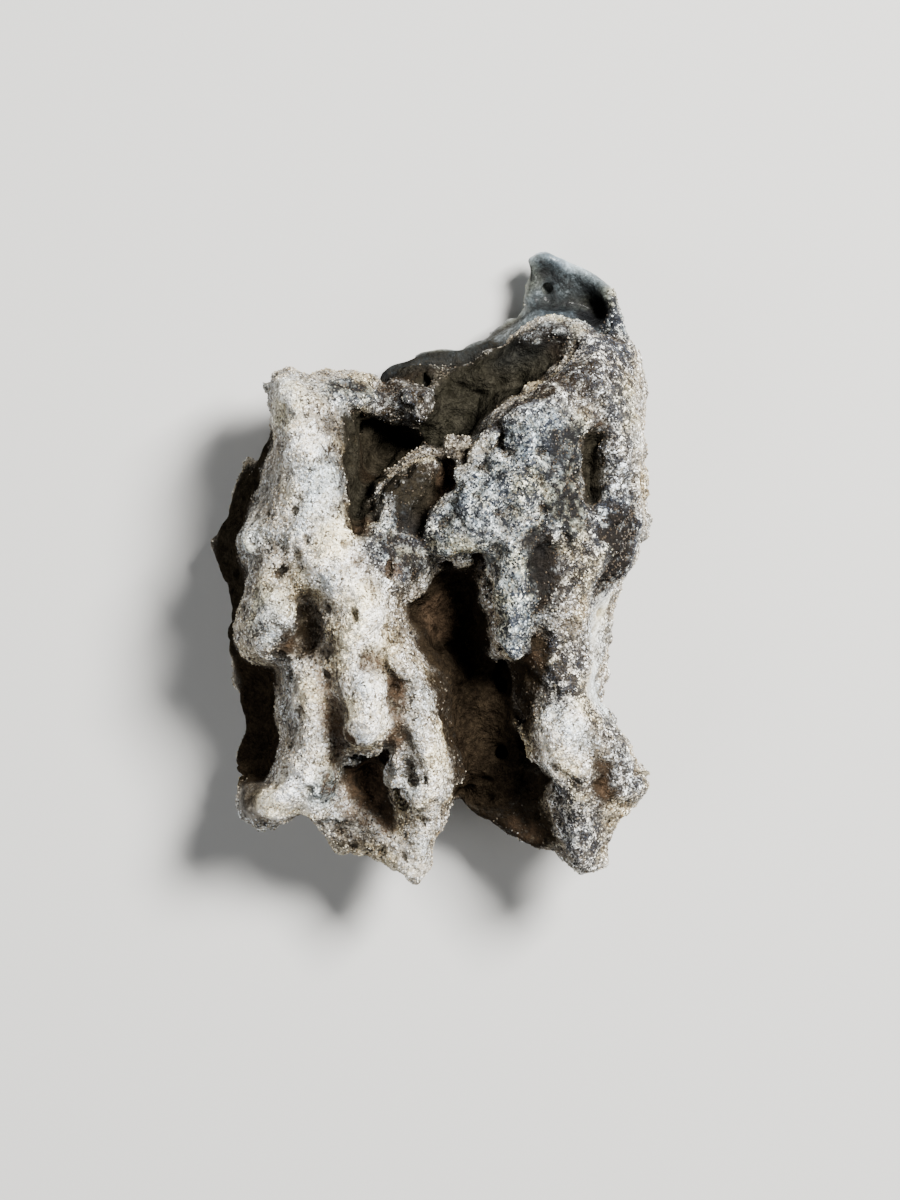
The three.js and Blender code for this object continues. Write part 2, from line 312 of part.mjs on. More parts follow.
// ---- the sheets ---------------------------------------------------------------------------------
// A sheet is its mean level plus one shallow cone at each of its points. The cones' steepness
// comes from the equations that make the sheet pass by every point within the slack.
function stretchSheet(points) {
  const mean = points.reduce((sum, point) => sum + point[2], 0) / points.length;
  const rows = points.map((a, i) => {
    const row = points.map((b) => Math.hypot(a[0] - b[0], a[1] - b[1], STIFFNESS));
    row[i] -= SLACK;
    return Float64Array.from([...row, a[2] - mean]);
  });
  const width = points.length;
  for (let k = 0; k < width; k += 1) {
    let best = k;
    for (let i = k + 1; i < width; i += 1) if (Math.abs(rows[i][k]) > Math.abs(rows[best][k])) best = i;
    [rows[k], rows[best]] = [rows[best], rows[k]];
    for (let i = k + 1; i < width; i += 1) {
      const share = rows[i][k] / rows[k][k];
      for (let j = k; j <= width; j += 1) rows[i][j] -= share * rows[k][j];
    }
  }
  const pulls = new Float64Array(width);
  for (let k = width - 1; k >= 0; k -= 1) {
    let left = rows[k][width];
    for (let j = k + 1; j < width; j += 1) left -= rows[k][j] * pulls[j];
    pulls[k] = left / rows[k][k];
  }
  return { points, pulls, mean, top: Math.max(...points.map((point) => point[2])) + SLACK };
}

// The sheet's height at a place, and how much longer its slope makes a path over it.
function heightAt(sheet, x, y) {
  let height = sheet.mean;
  let slopeX = 0;
  let slopeY = 0;
  sheet.points.forEach(([px, py], i) => {
    const reach = Math.sqrt((x - px) ** 2 + (y - py) ** 2 + STIFFNESS ** 2);
    height += sheet.pulls[i] * reach;
    slopeX += (sheet.pulls[i] * (x - px)) / reach;
    slopeY += (sheet.pulls[i] * (y - py)) / reach;
  });
  const slope = Math.min(Math.hypot(slopeX, slopeY), STEEPEST);
  return { height: Math.min(height, sheet.top), stretch: Math.hypot(1, slope) };
}

// The distance outside the outline, negative within it.
function pastOutline(x, y) {
  let nearest = Infinity;
  let within = false;
  OUTLINE.forEach(([ax, ay], i) => {
    const [bx, by] = OUTLINE[(i + 1) % OUTLINE.length];
    const run = ((x - ax) * (bx - ax) + (y - ay) * (by - ay)) / ((bx - ax) ** 2 + (by - ay) ** 2);
    const t = THREE.MathUtils.clamp(run, 0, 1);
    nearest = Math.min(nearest, Math.hypot(x - ax - t * (bx - ax), y - ay - t * (by - ay)));
    if (ay > y !== by > y && x < ax + ((y - ay) * (bx - ax)) / (by - ay)) within = !within;
  });
  return within ? -nearest : nearest;
}

// Two values blended over the width k, as two runs of melt join.
function softMin(a, b, k) {
  const share = THREE.MathUtils.clamp(0.5 + (0.5 * (b - a)) / k, 0, 1);
  return b * (1 - share) + a * share - k * share * (1 - share);
}

// The distance from p to one stretch of a feature, between the points a and b.
function stretchDistance(feature, a, b, p) {
  const along = [b[0] - a[0], b[1] - a[1], b[2] - a[2]];
  const upright = feature.down > 0 || feature.up > 0;
  const weightZ = upright ? 0 : 1;
  const lengthSquared = along[0] ** 2 + along[1] ** 2 + weightZ * along[2] ** 2;
  const dot = (p.x - a[0]) * along[0] + (p.y - a[1]) * along[1] + weightZ * (p.z - a[2]) * along[2];
  const t = THREE.MathUtils.clamp(dot / lengthSquared, 0, 1);
  const nearest = new THREE.Vector3(...along).multiplyScalar(t).add(new THREE.Vector3(a[0], a[1], a[2]));
  const off = p.clone().sub(nearest);
  const radius = a[3] + t * (b[3] - a[3]);
  if (feature.thick) {
    const across = new THREE.Vector3(along[1], -along[0], 0).normalize();
    const sideways = off.dot(across);
    const beyond = Math.max(off.lengthSq() - off.z * off.z - sideways * sideways, 0);
    const past = Math.max(Math.abs(sideways) - (radius - feature.thick), 0);
    return Math.sqrt(past * past + beyond + off.z * off.z) - feature.thick;
  }
  off.z = off.z < 0 ? Math.min(0, off.z + feature.down) : Math.max(0, off.z - feature.up);
  return off.length() - radius;
}

const frontSheet = stretchSheet(FRONT);
const backSheet = stretchSheet(BACK);

function depthAt(p) {
  const front = heightAt(frontSheet, p.x, p.y);
  const back = heightAt(backSheet, p.x, p.y);
  const above = (p.z - front.height) / front.stretch;
  const below = (back.height - p.z) / back.stretch;
  const side = pastOutline(p.x, p.y) + BULGE * (p.z - (front.height + back.height) / 2) ** 2;
  const sideMelt = THREE.MathUtils.clamp(0.45 * (front.height - back.height), ...SIDE_MELT);
  let depth = -softMin(softMin(-above, -below, SHEET_MELT), -side, sideMelt);
  depth = Math.min(depth, OUTSIDE);
  for (const feature of features) {
    let distance = Infinity;
    for (let i = 1; i < feature.points.length; i += 1) {
      const reach = stretchDistance(feature, feature.points[i - 1], feature.points[i], p);
      distance = Math.min(distance, reach);
    }
    depth = feature.cut ? -softMin(-depth, distance, feature.melt) : softMin(depth, distance, feature.melt);
  }
  return depth - CRUST;
}

// ---- the surface -----------------------------------------------------------------------------------
const span = new THREE.Vector3().subVectors(FIELD_HIGH, FIELD_LOW);
const count = span.toArray().map((side) => Math.ceil(side / CELL) + 1);
const strides = [1, count[0], count[0] * count[1]];
const total = count[0] * count[1] * count[2];
const nodeAt = (i, j, k) => i + j * strides[1] + k * strides[2];
const placeOf = (node) => [
  node % count[0],
  Math.floor(node / strides[1]) % count[1],
  Math.floor(node / strides[2]),
];

function sampleDepths() {
  const depths = new Float32Array(total);
  for (let node = 0; node < total; node += 1) {
    const p = new THREE.Vector3(...placeOf(node)).multiplyScalar(CELL).add(FIELD_LOW);
    depths[node] = depthAt(p);
  }
  return depths;
}

// The nodes on one side of the surface that are joined to a first node.
function flood(depths, first, isGlass) {
  const reached = new Uint8Array(total);
  const queue = [first];
  reached[first] = 1;
  while (queue.length > 0) {
    const node = queue.pop();
    const place = placeOf(node);
    for (let axis = 0; axis < 3; axis += 1) {
      for (const step of [-1, 1]) {
        const next = node + step * strides[axis];
        const within = place[axis] + step >= 0 && place[axis] + step < count[axis];
        if (within && !reached[next] && depths[next] < 0 === isGlass) {
          reached[next] = 1;
          queue.push(next);
        }
      }
    }
  }
  return reached;
}

// Loose crumbs go, and sealed bubbles fill with glass, so that one body with one skin is left.
function keepOneBody(depths) {
  const core = new THREE.Vector3(3.5, 0.6, 10).sub(FIELD_LOW).divideScalar(CELL).round();
  const body = flood(depths, nodeAt(core.x, core.y, core.z), true);
  const air = flood(depths, 0, false);
  for (let node = 0; node < total; node += 1) {
    if (depths[node] < 0 && !body[node]) depths[node] = FILL;
    if (depths[node] >= 0 && !air[node]) depths[node] = -FILL;
  }
}

// Glass that meets itself only along an edge or at a corner has no proper skin there, so the
// gap beside each such place is filled until none is left.
function fillPinches(depths) {
  const squares = [[0, 1], [0, 2], [1, 2]];
  let filled = 0;
  for (let node = 0; node < total; node += 1) {
    const place = placeOf(node);
    for (const [u, v] of squares) {
      if (place[u] + 1 >= count[u] || place[v] + 1 >= count[v]) continue;
      const corners = [node, node + strides[u], node + strides[u] + strides[v], node + strides[v]];
      const glass = corners.map((corner) => depths[corner] < 0);
      if (glass[0] === glass[2] && glass[1] === glass[3] && glass[0] !== glass[1]) {
        depths[corners[glass[0] ? 1 : 0]] = -FILL;
        filled += 1;
      }
    }
    if (place.some((value, axis) => value + 1 >= count[axis])) continue;
    const corner = (bits) => node + (bits & 1) + ((bits >> 1) & 1) * strides[1] + (bits >> 2) * strides[2];
    for (let bits = 0; bits < 4; bits += 1) {
      const pair = [corner(bits), corner(7 - bits)];
      const glassy = pair.map((one) => depths[one] < 0);
      const others = [0, 1, 2, 3, 4, 5, 6, 7].map(corner).filter((one) => !pair.includes(one));
      const othersDiffer = others.every((one) => depths[one] < 0 !== glassy[0]);
      if (glassy[0] === glassy[1] && othersDiffer) {
        depths[glassy[0] ? others[0] : pair[0]] = -FILL;
        filled += 1;
      }
    }
  }
  return filled;
}

// A vertex slides along the steepest slope of the field on to the surface, but stays in its cell.
function settle(vertex, cell) {
  const low = cell.clone().addScalar(CELL_MARGIN).multiplyScalar(CELL).add(FIELD_LOW);
  const high = cell.clone().addScalar(1 - CELL_MARGIN).multiplyScalar(CELL).add(FIELD_LOW);
  for (let pass = 0; pass < 2; pass += 1) {
    const depth = depthAt(vertex);
    const slope = new THREE.Vector3();
    for (const axis of ['x', 'y', 'z']) {
      const beside = vertex.clone();
      beside[axis] += SLOPE_STEP;
      slope[axis] = (depthAt(beside) - depth) / SLOPE_STEP;
    }
    vertex.addScaledVector(slope, -depth / Math.max(slope.lengthSq(), 0.5)).clamp(low, high);
  }
}

// One vertex in each cell that the surface crosses, started at the middle of its crossings, and
// one square of two triangles round each grid edge that the surface crosses.
function drawSurface(depths) {
  const vertexOf = new Int32Array(total).fill(-1);
  const positions = [];
  const indices = [];
  const along = (node, bits) => node + (bits & 1) + ((bits >> 1) & 1) * strides[1] + (bits >> 2) * strides[2];
  for (let k = 0; k < count[2] - 1; k += 1) {
    for (let j = 0; j < count[1] - 1; j += 1) {
      for (let i = 0; i < count[0] - 1; i += 1) {
        const node = nodeAt(i, j, k);
        const sum = new THREE.Vector3();
        let crossings = 0;
        for (let bits = 0; bits < 8; bits += 1) {
          for (const step of [1, 2, 4]) {
            if (bits & step) continue;
            const from = depths[along(node, bits)];
            const to = depths[along(node, bits | step)];
            if (from < 0 === to < 0) continue;
            const share = from / (from - to);
            const start = new THREE.Vector3(bits & 1, (bits >> 1) & 1, bits >> 2);
            start.setComponent(Math.log2(step), share);
            sum.add(start);
            crossings += 1;
          }
        }
        if (crossings === 0) continue;
        const cell = new THREE.Vector3(i, j, k);
        const vertex = sum.divideScalar(crossings).add(cell).multiplyScalar(CELL).add(FIELD_LOW);
        settle(vertex, cell);
        vertexOf[node] = positions.length / 3;
        positions.push(vertex.x, vertex.y, vertex.z);
      }
    }
  }
  const distance = (a, b) => Math.hypot(...[0, 1, 2].map((n) => positions[3 * a + n] - positions[3 * b + n]));
  for (let node = 0; node < total; node += 1) {
    const place = placeOf(node);
    for (let axis = 0; axis < 3; axis += 1) {
      if (place[axis] + 1 >= count[axis]) continue;
      const next = node + strides[axis];
      if (depths[node] < 0 === depths[next] < 0) continue;
      const u = strides[(axis + 1) % 3];
      const v = strides[(axis + 2) % 3];
      const square = [node, node - u, node - u - v, node - v].map((cell) => vertexOf[cell]);
      if (depths[node] >= 0) square.reverse();
      const [a, b, c, d] = square;
      if (distance(a, c) <= distance(b, d)) indices.push(a, b, c, a, c, d);
      else indices.push(a, b, d, b, c, d);
    }
  }
  const geometry = new THREE.BufferGeometry();
  geometry.setAttribute('position', new THREE.Float32BufferAttribute(positions, 3));
  geometry.setIndex(indices);
  return geometry;
}

// ---- joining and cutting ----------------------------------------------------------------------------
const wasm = await Module();
wasm.setup();

function toSolid(geometry) {
  const vertProperties = new Float32Array(geometry.getAttribute('position').array);
  const triVerts = new Uint32Array(geometry.getIndex().array);
  return new wasm.Manifold(new wasm.Mesh({ numProp: 3, vertProperties, triVerts }));
}

function toGeometry(solid) {
  const mesh = solid.getMesh();
  const geometry = new THREE.BufferGeometry();
  geometry.setAttribute('position', new THREE.Float32BufferAttribute(mesh.vertProperties, 3));
  geometry.setIndex([...mesh.triVerts]);
  return geometry;
}

// The back ridges are ground off level by taking away all that lies under the base.
function groundFlat(geometry) {
  const under = new THREE.BoxGeometry(2 * span.x, 2 * span.y, span.z);
  under.deleteAttribute('normal');
  under.deleteAttribute('uv');
  under.translate(0, 0, BASE_LEVEL - span.z / 2);
  return toGeometry(toSolid(geometry).subtract(toSolid(mergeVertices(under))));
}

function buildFulgurite() {
  const depths = sampleDepths();
  keepOneBody(depths);
  while (fillPinches(depths) > 0) keepOneBody(depths);
  const geometry = groundFlat(drawSurface(depths));
  geometry.computeBoundingBox();
  const middle = geometry.boundingBox.getCenter(new THREE.Vector3());
  geometry.translate(-middle.x, -middle.y, -geometry.boundingBox.min.z);
  const material = new THREE.MeshStandardMaterial({ color: 0xcdc4b2, roughness: 0.9, metalness: 0 });
  const fulgurite = new THREE.Mesh(geometry, material);
  fulgurite.name = 'fulgurite';
  return fulgurite;
}

const group = new THREE.Group();
group.add(buildFulgurite());

export default group;
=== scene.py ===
import math

import bpy
import numpy as np
import openvdb
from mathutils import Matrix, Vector


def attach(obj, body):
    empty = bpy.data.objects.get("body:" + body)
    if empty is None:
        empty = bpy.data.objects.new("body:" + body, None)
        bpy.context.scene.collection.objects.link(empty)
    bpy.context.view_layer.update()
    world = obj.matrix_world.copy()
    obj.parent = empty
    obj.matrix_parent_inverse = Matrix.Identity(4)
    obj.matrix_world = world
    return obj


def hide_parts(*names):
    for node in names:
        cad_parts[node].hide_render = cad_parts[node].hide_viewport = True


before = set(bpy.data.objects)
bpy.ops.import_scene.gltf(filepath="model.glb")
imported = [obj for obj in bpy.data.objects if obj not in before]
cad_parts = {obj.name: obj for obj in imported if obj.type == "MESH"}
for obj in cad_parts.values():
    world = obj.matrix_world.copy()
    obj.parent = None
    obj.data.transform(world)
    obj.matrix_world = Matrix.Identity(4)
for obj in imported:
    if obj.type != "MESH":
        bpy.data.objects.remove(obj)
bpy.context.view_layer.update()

# ---- The fused body -----------------------------------------------------------------------------
# A flattened tube of glass that lightning froze out of dune sand, broken at both ends, with ridges
# of half-melted sand along its front and hollows between them. It froze as one piece: a front sheet
# and a back sheet that meet round one outline, with its bore, lips and pits let into them.

MM = 0.001                                # the shapes below are in millimetres
GRID = 0.30                               # spacing of the field, fine enough for a sand grain
FIELD_LOW = np.array([-24.6, -33.6, -1.0])
FIELD_HIGH = np.array([24.6, 33.6, 31.0])
OUTSIDE = 6.0                             # depth value on the field's outer faces
BASE_LEVEL = 0.9                          # height at which the back ridges are worn level
STIFFNESS = 0.8                           # how sharply a sheet may bend at one of its points
SLACK = 0.3                               # how far it may pass its points by, so that it doesn't buckle
STEEPEST = 3.5                            # steepest slope that the sheets' depth allows for
BULGE = 0.010                             # how much the sides draw in above and below their middle
FOLD = 0.6                                # least rounding where the sheets and the sides meet
WIDEST_FOLD = 3.0                         # most rounding there, where the glass is thick
LIP = 0.7                                 # rounding at the lip of a hollow
PIT_LIP = 0.25                            # rounding at the lip of a burst bubble
LUMP_GAIN = 2.2                           # brings smoothed random values back to about -1 to 1
ROOM = 2.2                                # how far beyond a bar its blending and the sway may reach
PITS = 900                                # burst bubbles in the skin
TRIANGLES = 195000                        # the most that the finished mesh has

# The outline, seen from the front, from the shoulder's top corner round by the finger, the right
# side, the feet and the wing.
OUTLINE = (
    (-16.6, 18.1), (-15.8, 19.4), (-14, 19.8), (-12.5, 19.3), (-10, 19.1), (-8.2, 19.4), (-6.5, 19.1),
    (-5.6, 18.9), (-5, 19.7), (-4.2, 20.4), (-2.7, 20.6), (-1.3, 21.3), (0.7, 21.6), (3, 21.7),
    (5.3, 22.9), (7, 23.9), (8.7, 24.9), (9.5, 25.9), (10, 27.3), (10.3, 28.9), (10.3, 30.6), (11, 31.1),
    (12, 31.3), (12.8, 30.9), (14, 30.4), (15.7, 30.1), (17, 29.6), (17.8, 28.9), (18.5, 27.9),
    (19, 25.9), (19.7, 23.6), (20.7, 21.6), (21.4, 19.3), (21.3, 16.1), (21.5, 13.5), (21.5, 9.6),
    (21.3, 7.3), (21.3, 5.8), (21.7, 4.8), (21.8, 3.8), (21.3, 2.5), (20.4, 1.2), (19.8, -0.9),
    (18.7, -3.2), (18.3, -5.3), (17.9, -7.4), (17.7, -9.9), (17.2, -13.1), (17.3, -14.1), (18.3, -15.4),
    (19.3, -16.7), (20, -18.4), (20.7, -20.1), (21.7, -20.7), (22.2, -21.6), (21.8, -22.4), (20.3, -24.6),
    (18.3, -26.6), (17.6, -27.9), (17.4, -29.7), (16.3, -30.5), (15.2, -30.9), (14.3, -30.4),
    (13.3, -29.1), (11.5, -28.6), (10.3, -27.9), (8.3, -27.1), (7, -26.2), (5.2, -25.2), (4.2, -24.1),
    (3, -23.3), (1.8, -24.2), (1.3, -25.4), (1.1, -26.3), (0.4, -27.9), (0.2, -29.1), (-0.3, -30.4),
    (-1.3, -31.3), (-2.5, -31.4), (-3.5, -30.5), (-5, -29.8), (-6.8, -29.1), (-9, -29.1), (-10, -28.6),
    (-10.6, -27.8), (-11.5, -26.5), (-12.5, -25.5), (-13.2, -25), (-15.2, -25.9), (-17, -26.4),
    (-18.2, -25.9), (-19.4, -24.9), (-19.6, -23.6), (-19.6, -21.4), (-19.8, -19.4), (-19.7, -17.4),
    (-19.2, -16.1), (-18.9, -14.1), (-19.2, -13.1), (-19.9, -11.6), (-19.9, -7.9), (-19.7, -5.4),
    (-20.1, -3.6), (-21, -1.9), (-21.5, -0.1), (-22, 1.9), (-22, 2.9), (-20.2, 4.9), (-20, 6.1),
    (-19.4, 8.1), (-18.4, 9.6), (-17.1, 11.6), (-16.5, 12.9),
)

# The front, as the crests, edges and floors that the eye follows: (x, y, height).
SHOULDER = (
    (-15.2, 19, 17.2), (-13.5, 19.2, 18.2), (-12, 18.7, 18.3), (-15.9, 17.7, 18.4), (-14.2, 17.5, 20.6),
    (-15.7, 16.6, 18.3), (-16.2, 15, 16.8), (-14.8, 15, 20.6), (-13.2, 15.2, 21.9), (-12, 16.4, 21.1),
    (-15.7, 12.8, 19.2), (-14.4, 12.4, 21.6), (-12.6, 12.2, 23), (-10.8, 13.6, 21.9), (-10.6, 11, 23),
    (-14.2, 9.2, 22.4), (-12.4, 9, 24), (-10.4, 8.6, 23.8), (-14.4, 6, 22.8), (-12.2, 6, 24.7),
    (-10.2, 5.8, 24.4), (-13.8, 3.2, 23.8), (-11.8, 3, 25.2), (-9.6, 3.2, 24.9), (-12.6, 0.4, 24.6),
    (-10.6, 0, 25.8), (-8.4, 0.6, 25.2), (-11.8, -2.2, 24.2), (-9.6, -2.4, 26.1), (-7.2, -1.4, 25.6),
)
FLANK = (
    (-16.5, 12, 13.6), (-15.8, 10.4, 19.6), (-17.1, 9.6, 13.8), (-15.7, 8, 20.4), (-17.6, 7.2, 13.6),
    (-15.9, 6, 20.8), (-18, 5.3, 14.2),
)
SIDE_KNOB = (
    (-17.9, 3.2, 19.9), (-17.2, 4.3, 19.6), (-18, 1.8, 19.2), (-16.4, 3.2, 20.8), (-15.6, 1.6, 21.8),
    (-15.6, 4.4, 21.6), (-18.9, 2.6, 16.2), (-18.6, 1.1, 15.4), (-18.4, 4.9, 14),
)
UPPER_LEFT_HOLLOW = (
    (-9.3, 14, 20.6), (-9.1, 11.2, 21.8), (-9, 8.6, 22.9), (-8.8, 6.6, 23.6), (-8.4, 4.6, 24),
    (-7.8, 3.1, 24.1), (-7, 2, 24.2), (-8, 13.2, 18.4), (-7.9, 10.4, 18.6), (-7.8, 8, 19.2),
    (-7.6, 6, 20), (-7.2, 4.2, 20.8), (-6.8, 3.1, 21.6), (-6.8, 12.2, 14.2), (-6.7, 9.6, 14.6),
    (-6.6, 7.4, 15.8), (-6.5, 5.4, 17.6), (-5.6, 10.2, 11.6), (-4.8, 13.2, 8.8), (-4.4, 11.2, 9),
    (-3.2, 12.8, 8.4), (-3.8, 10.6, 10.4), (-2.4, 13.3, 8.8), (-1.9, 11.9, 10.4),
)
TOP_BAR = (
    (-11.4, 17.6, 20.5), (-10.2, 17.5, 20.1), (-8.8, 17.1, 19.8), (-7.3, 16.9, 19.4), (-6, 16.8, 18.6),
    (-5.3, 16.9, 17.4), (-10, 18.8, 17.6), (-8, 18.9, 17.4), (-6.3, 18.6, 16.4), (-8.1, 18.1, 18),
    (-6.8, 18, 17.6), (-8.7, 15.8, 19.2), (-6.6, 15.5, 18), (-5.1, 15.4, 16.8), (-7.6, 14.8, 16.6),
    (-6.4, 14.4, 13.6), (-4.9, 14.5, 12),
)
SMALL_LOBE = (
    (-4.5, 16.8, 15.4), (-3.7, 15.7, 15.4), (-2.8, 17.2, 16.2), (-1.9, 16.5, 17), (-0.8, 16.2, 17.2),
    (0.3, 15.6, 16.6), (-1.4, 15, 16.6), (-3, 14.8, 14.6), (-1.9, 13.9, 14.4), (-0.6, 13.7, 14.8),
    (0.8, 14.2, 14.6), (-4.7, 18.4, 12), (-3.6, 18.3, 13.4), (-2.4, 18.8, 12.6), (-1.2, 18.4, 13.4),
    (-3.4, 19.9, 9), (-1.8, 20, 9.2), (-0.5, 19, 11),
)
FRONT_WALL_EDGE = (
    (0.4, 18.4, 14.4), (2.4, 19, 13.9), (4.3, 19.6, 13.6), (6, 20.8, 13.8), (7.4, 21.9, 14.4),
    (8.9, 22.9, 15.4), (10.4, 23.6, 16.2), (12, 23.9, 16.4), (13.5, 23.5, 16.6), (14.8, 22.8, 17),
    (15.7, 22.2, 17.4),
)
RECESSED_WALL = (
    (1.4, 16.8, 14.2), (3.2, 17.6, 13.4), (3, 15.5, 13), (5, 17.6, 12.9), (5, 16, 12.6), (7, 19, 13),
    (6.8, 17.6, 12.7), (9, 21, 13.6), (8.8, 19.2, 13), (11, 22.8, 15), (11, 20.8, 13.8),
    (12.8, 22.4, 15.2), (13.2, 21.6, 14.4), (14.8, 21.8, 15.2), (12.5, 20.2, 14.2), (10.7, 18.6, 13.4),
    (8.7, 17.1, 13), (6.6, 15.9, 12.9), (4.6, 14.4, 13), (3, 13, 12.8), (1.4, 12.4, 13),
    (0.4, 11.6, 13.6),
)
BACK_RIM = (
    (0.6, 20.6, 8), (3, 20.9, 7.8), (5.4, 22.1, 7.4), (7.6, 23.6, 7.2), (-4.4, 20, 8), (-2.6, 20.5, 8),
)
FINGER = (
    (11.2, 30.7, 7.4), (12.2, 30.6, 7.4), (11.5, 29.6, 5.8), (10.8, 28.2, 6.8), (10.2, 25.8, 7),
    (12.4, 28.4, 5.9), (12, 25.7, 6.2), (13.4, 27.4, 6.7), (13.5, 25.4, 7.2), (13, 29.8, 7),
    (14.4, 29.4, 7.4), (14.6, 27.8, 6.4), (15.9, 29.3, 8.2), (17.3, 28.3, 9), (18.1, 26.6, 9.8),
    (18.6, 24.6, 11), (16, 27, 6), (15.3, 25.8, 5.6), (16.6, 25.8, 5.2), (16.9, 24.6, 5.4),
    (19.2, 22.8, 13), (20.1, 21, 14.8),
)
BOSS = (
    (16.4, 20.8, 20.8), (14.8, 19.4, 22.6), (13.3, 18, 23.6), (11.7, 16.8, 24), (10, 15.8, 24.4),
    (8.4, 15.4, 23.8), (7.3, 14.3, 23.4), (6.8, 12.8, 23), (15.4, 17.2, 23), (13.4, 15.4, 24.8),
    (11.4, 13.8, 25.4), (9.2, 12.9, 25.4), (12.8, 11.9, 25.3), (10.6, 10.7, 26), (8.4, 10, 26.2),
    (7, 8.4, 26.2), (5.2, 6.6, 26.2), (3.7, 4.9, 26), (3, 3.2, 25.7), (2.6, 1.7, 24.8), (9.6, 7.2, 26.4),
    (7.2, 5, 26.2), (5.2, 3.2, 25.8), (11.7, 7.7, 25.6), (13.2, 8.2, 24.8), (14, 10, 24.4),
    (14, 12.8, 24.2), (4, 1.6, 24.9), (5.4, 2.1, 25.3), (6.7, 2.4, 25.6), (5.9, 10.6, 23.8),
    (4.8, 8.8, 24.2), (3.4, 7.4, 24.2), (2.2, 5.9, 24.2), (10.8, 4.6, 25.6), (9, 3.4, 26.2),
)
BOSS_LEFT_GROOVE = (
    (5.4, 13, 15.6), (4.2, 12.4, 18), (4, 11, 20), (2.8, 11.6, 17.2), (2.3, 10.2, 18.2), (2, 8.6, 18.8),
    (1.4, 6.8, 19.6), (0.5, 5.1, 20.2), (0, 3.6, 20.4), (1, 4, 22.6), (1.4, 2.4, 23.2), (1.9, 0.9, 23),
)
RIGHT_GROOVE = (
    (16.2, 14.6, 22), (15.8, 12.6, 19.6), (16.8, 12.4, 19.4), (15.8, 9.8, 19), (16.7, 9.8, 18.8),
    (15.7, 7.4, 19.8), (16.6, 7.4, 19.6), (16, 5.5, 22.2), (14.9, 13.4, 23.2), (14.8, 10.2, 23.4),
    (14.7, 7.6, 23.8), (17.3, 14.2, 22), (17.4, 11, 21.8), (17.3, 8, 21.8), (17.2, 6.2, 22.2),
)
PILLAR = (
    (17.9, 18.2, 21.3), (18.8, 15.4, 21.8), (19.2, 12.2, 21.8), (19.2, 9.2, 21.9), (19, 6.8, 22),
    (17.1, 20.8, 19.8), (18.4, 20.8, 18.6), (19.6, 20.8, 15.6), (17.6, 22.4, 17), (20.7, 17.2, 18),
    (20.9, 13, 18.4), (20.9, 9, 18.4), (20.8, 6, 18.6), (16.8, 17.4, 22),
)
SLANTING_SPUR = (
    (-4.7, 5.5, 22.6), (-3.6, 7, 22.6), (-2.3, 8.3, 22.2), (-0.9, 9.2, 21.6), (0.1, 9.5, 20.6),
    (-5.4, 5.5, 21.2), (-4.5, 7.6, 20.6), (-3, 9.1, 20), (-1.5, 10.1, 19), (-4.6, 8.9, 15.6),
    (-3, 10.3, 14.6), (-1, 11, 14.8), (-2.6, 5.6, 21.6), (-1, 6.8, 20.8), (0.4, 8, 20), (-4.6, 3.5, 22.8),
    (-3.4, 2.3, 23), (-2, 3.7, 21.8), (-0.7, 4.8, 20.8), (-0.9, 2.4, 21.8),
)
BRIDGE = (
    (-5.6, 1.7, 24.4), (-4.6, 0.6, 24.7), (-3.4, -0.4, 24.4), (-2.2, -1, 23.8), (-1.4, 0.5, 22.8),
    (-1.1, -1.5, 21.6), (-4.8, -1.9, 24.4), (-3, -2.2, 23), (-1.8, -2.5, 21), (-0.4, 0, 20.6),
)
MAIN_RIDGE = (
    (-6.8, -3.2, 26.2), (-5.8, -5, 26.6), (-5.4, -7, 26.4), (-6.2, -9.2, 25.9), (-4.6, -3.6, 25),
    (-3.8, -4.4, 23.6), (-4, -6.6, 23.8), (-4.1, -8.2, 24), (-2.6, -3.9, 19), (-2.7, -5.8, 19),
    (-2.7, -7.6, 19.2), (-9.2, -4.4, 24.2), (-10.6, -4, 21.8), (-10.8, -6.2, 21.2), (-10.4, -8, 21.2),
    (-8.6, -6.2, 24.8), (-8.3, -8.4, 25.5), (-7.9, -10.4, 25.5),
)
WHITE_LOBE = (
    (-6.5, -11.4, 26.7), (-6.1, -13.4, 27.4), (-6, -15.4, 27.6), (-6, -16.9, 26.8), (-6.4, -17.9, 24.6),
    (-5.2, -17.2, 25.2), (-8.2, -12.6, 24.6), (-7.9, -15, 24.6), (-7.6, -17, 24), (-5.7, -9.7, 24.4),
    (-4.6, -11.5, 25), (-4.4, -14, 25), (-4.3, -16.3, 24.4), (-6.2, -18.6, 19), (-4.4, -18.4, 19.4),
    (-7.8, -18.2, 20.4),
)
MIDDLE_ARM = (
    (-3, -9.4, 24.6), (-2.2, -10.6, 24.4), (-1.4, -12.2, 24.2), (-0.9, -14, 24.2), (-0.3, -16.5, 24),
    (0, -19, 23.2), (0.7, -21, 22.4), (0.9, -23, 21.4), (0.2, -25, 20.4), (-0.5, -27, 19),
    (-1.2, -29, 17.6), (-1.8, -30.4, 16.2), (-3.3, -12.2, 23.4), (-3.2, -14.6, 23), (-3, -16.6, 22.4),
    (-2.6, -18, 21.6), (-3.5, -18.9, 21.4), (-3.8, -20.2, 20.8), (-3.6, -21.4, 20.4), (-2.8, -22.5, 20.8),
    (-2, -23.5, 20.4), (-2.3, -19.8, 20.8), (-1.9, -21.2, 20.4), (-3, -24.2, 17.6), (-2.4, -26, 17),
    (-1.9, -27.4, 17.2), (0.5, -12.6, 20.4), (0.6, -15, 20.6), (1.2, -18, 20.6), (2.1, -20.6, 19.8),
    (2.2, -22.4, 18.6), (1.4, -24.8, 17.4), (0.3, -28.2, 16.4), (-0.6, -10.4, 20.6), (1.8, -13, 16.4),
    (2, -15.4, 16.2), (2.8, -18, 15.6), (3.4, -20.6, 15),
)
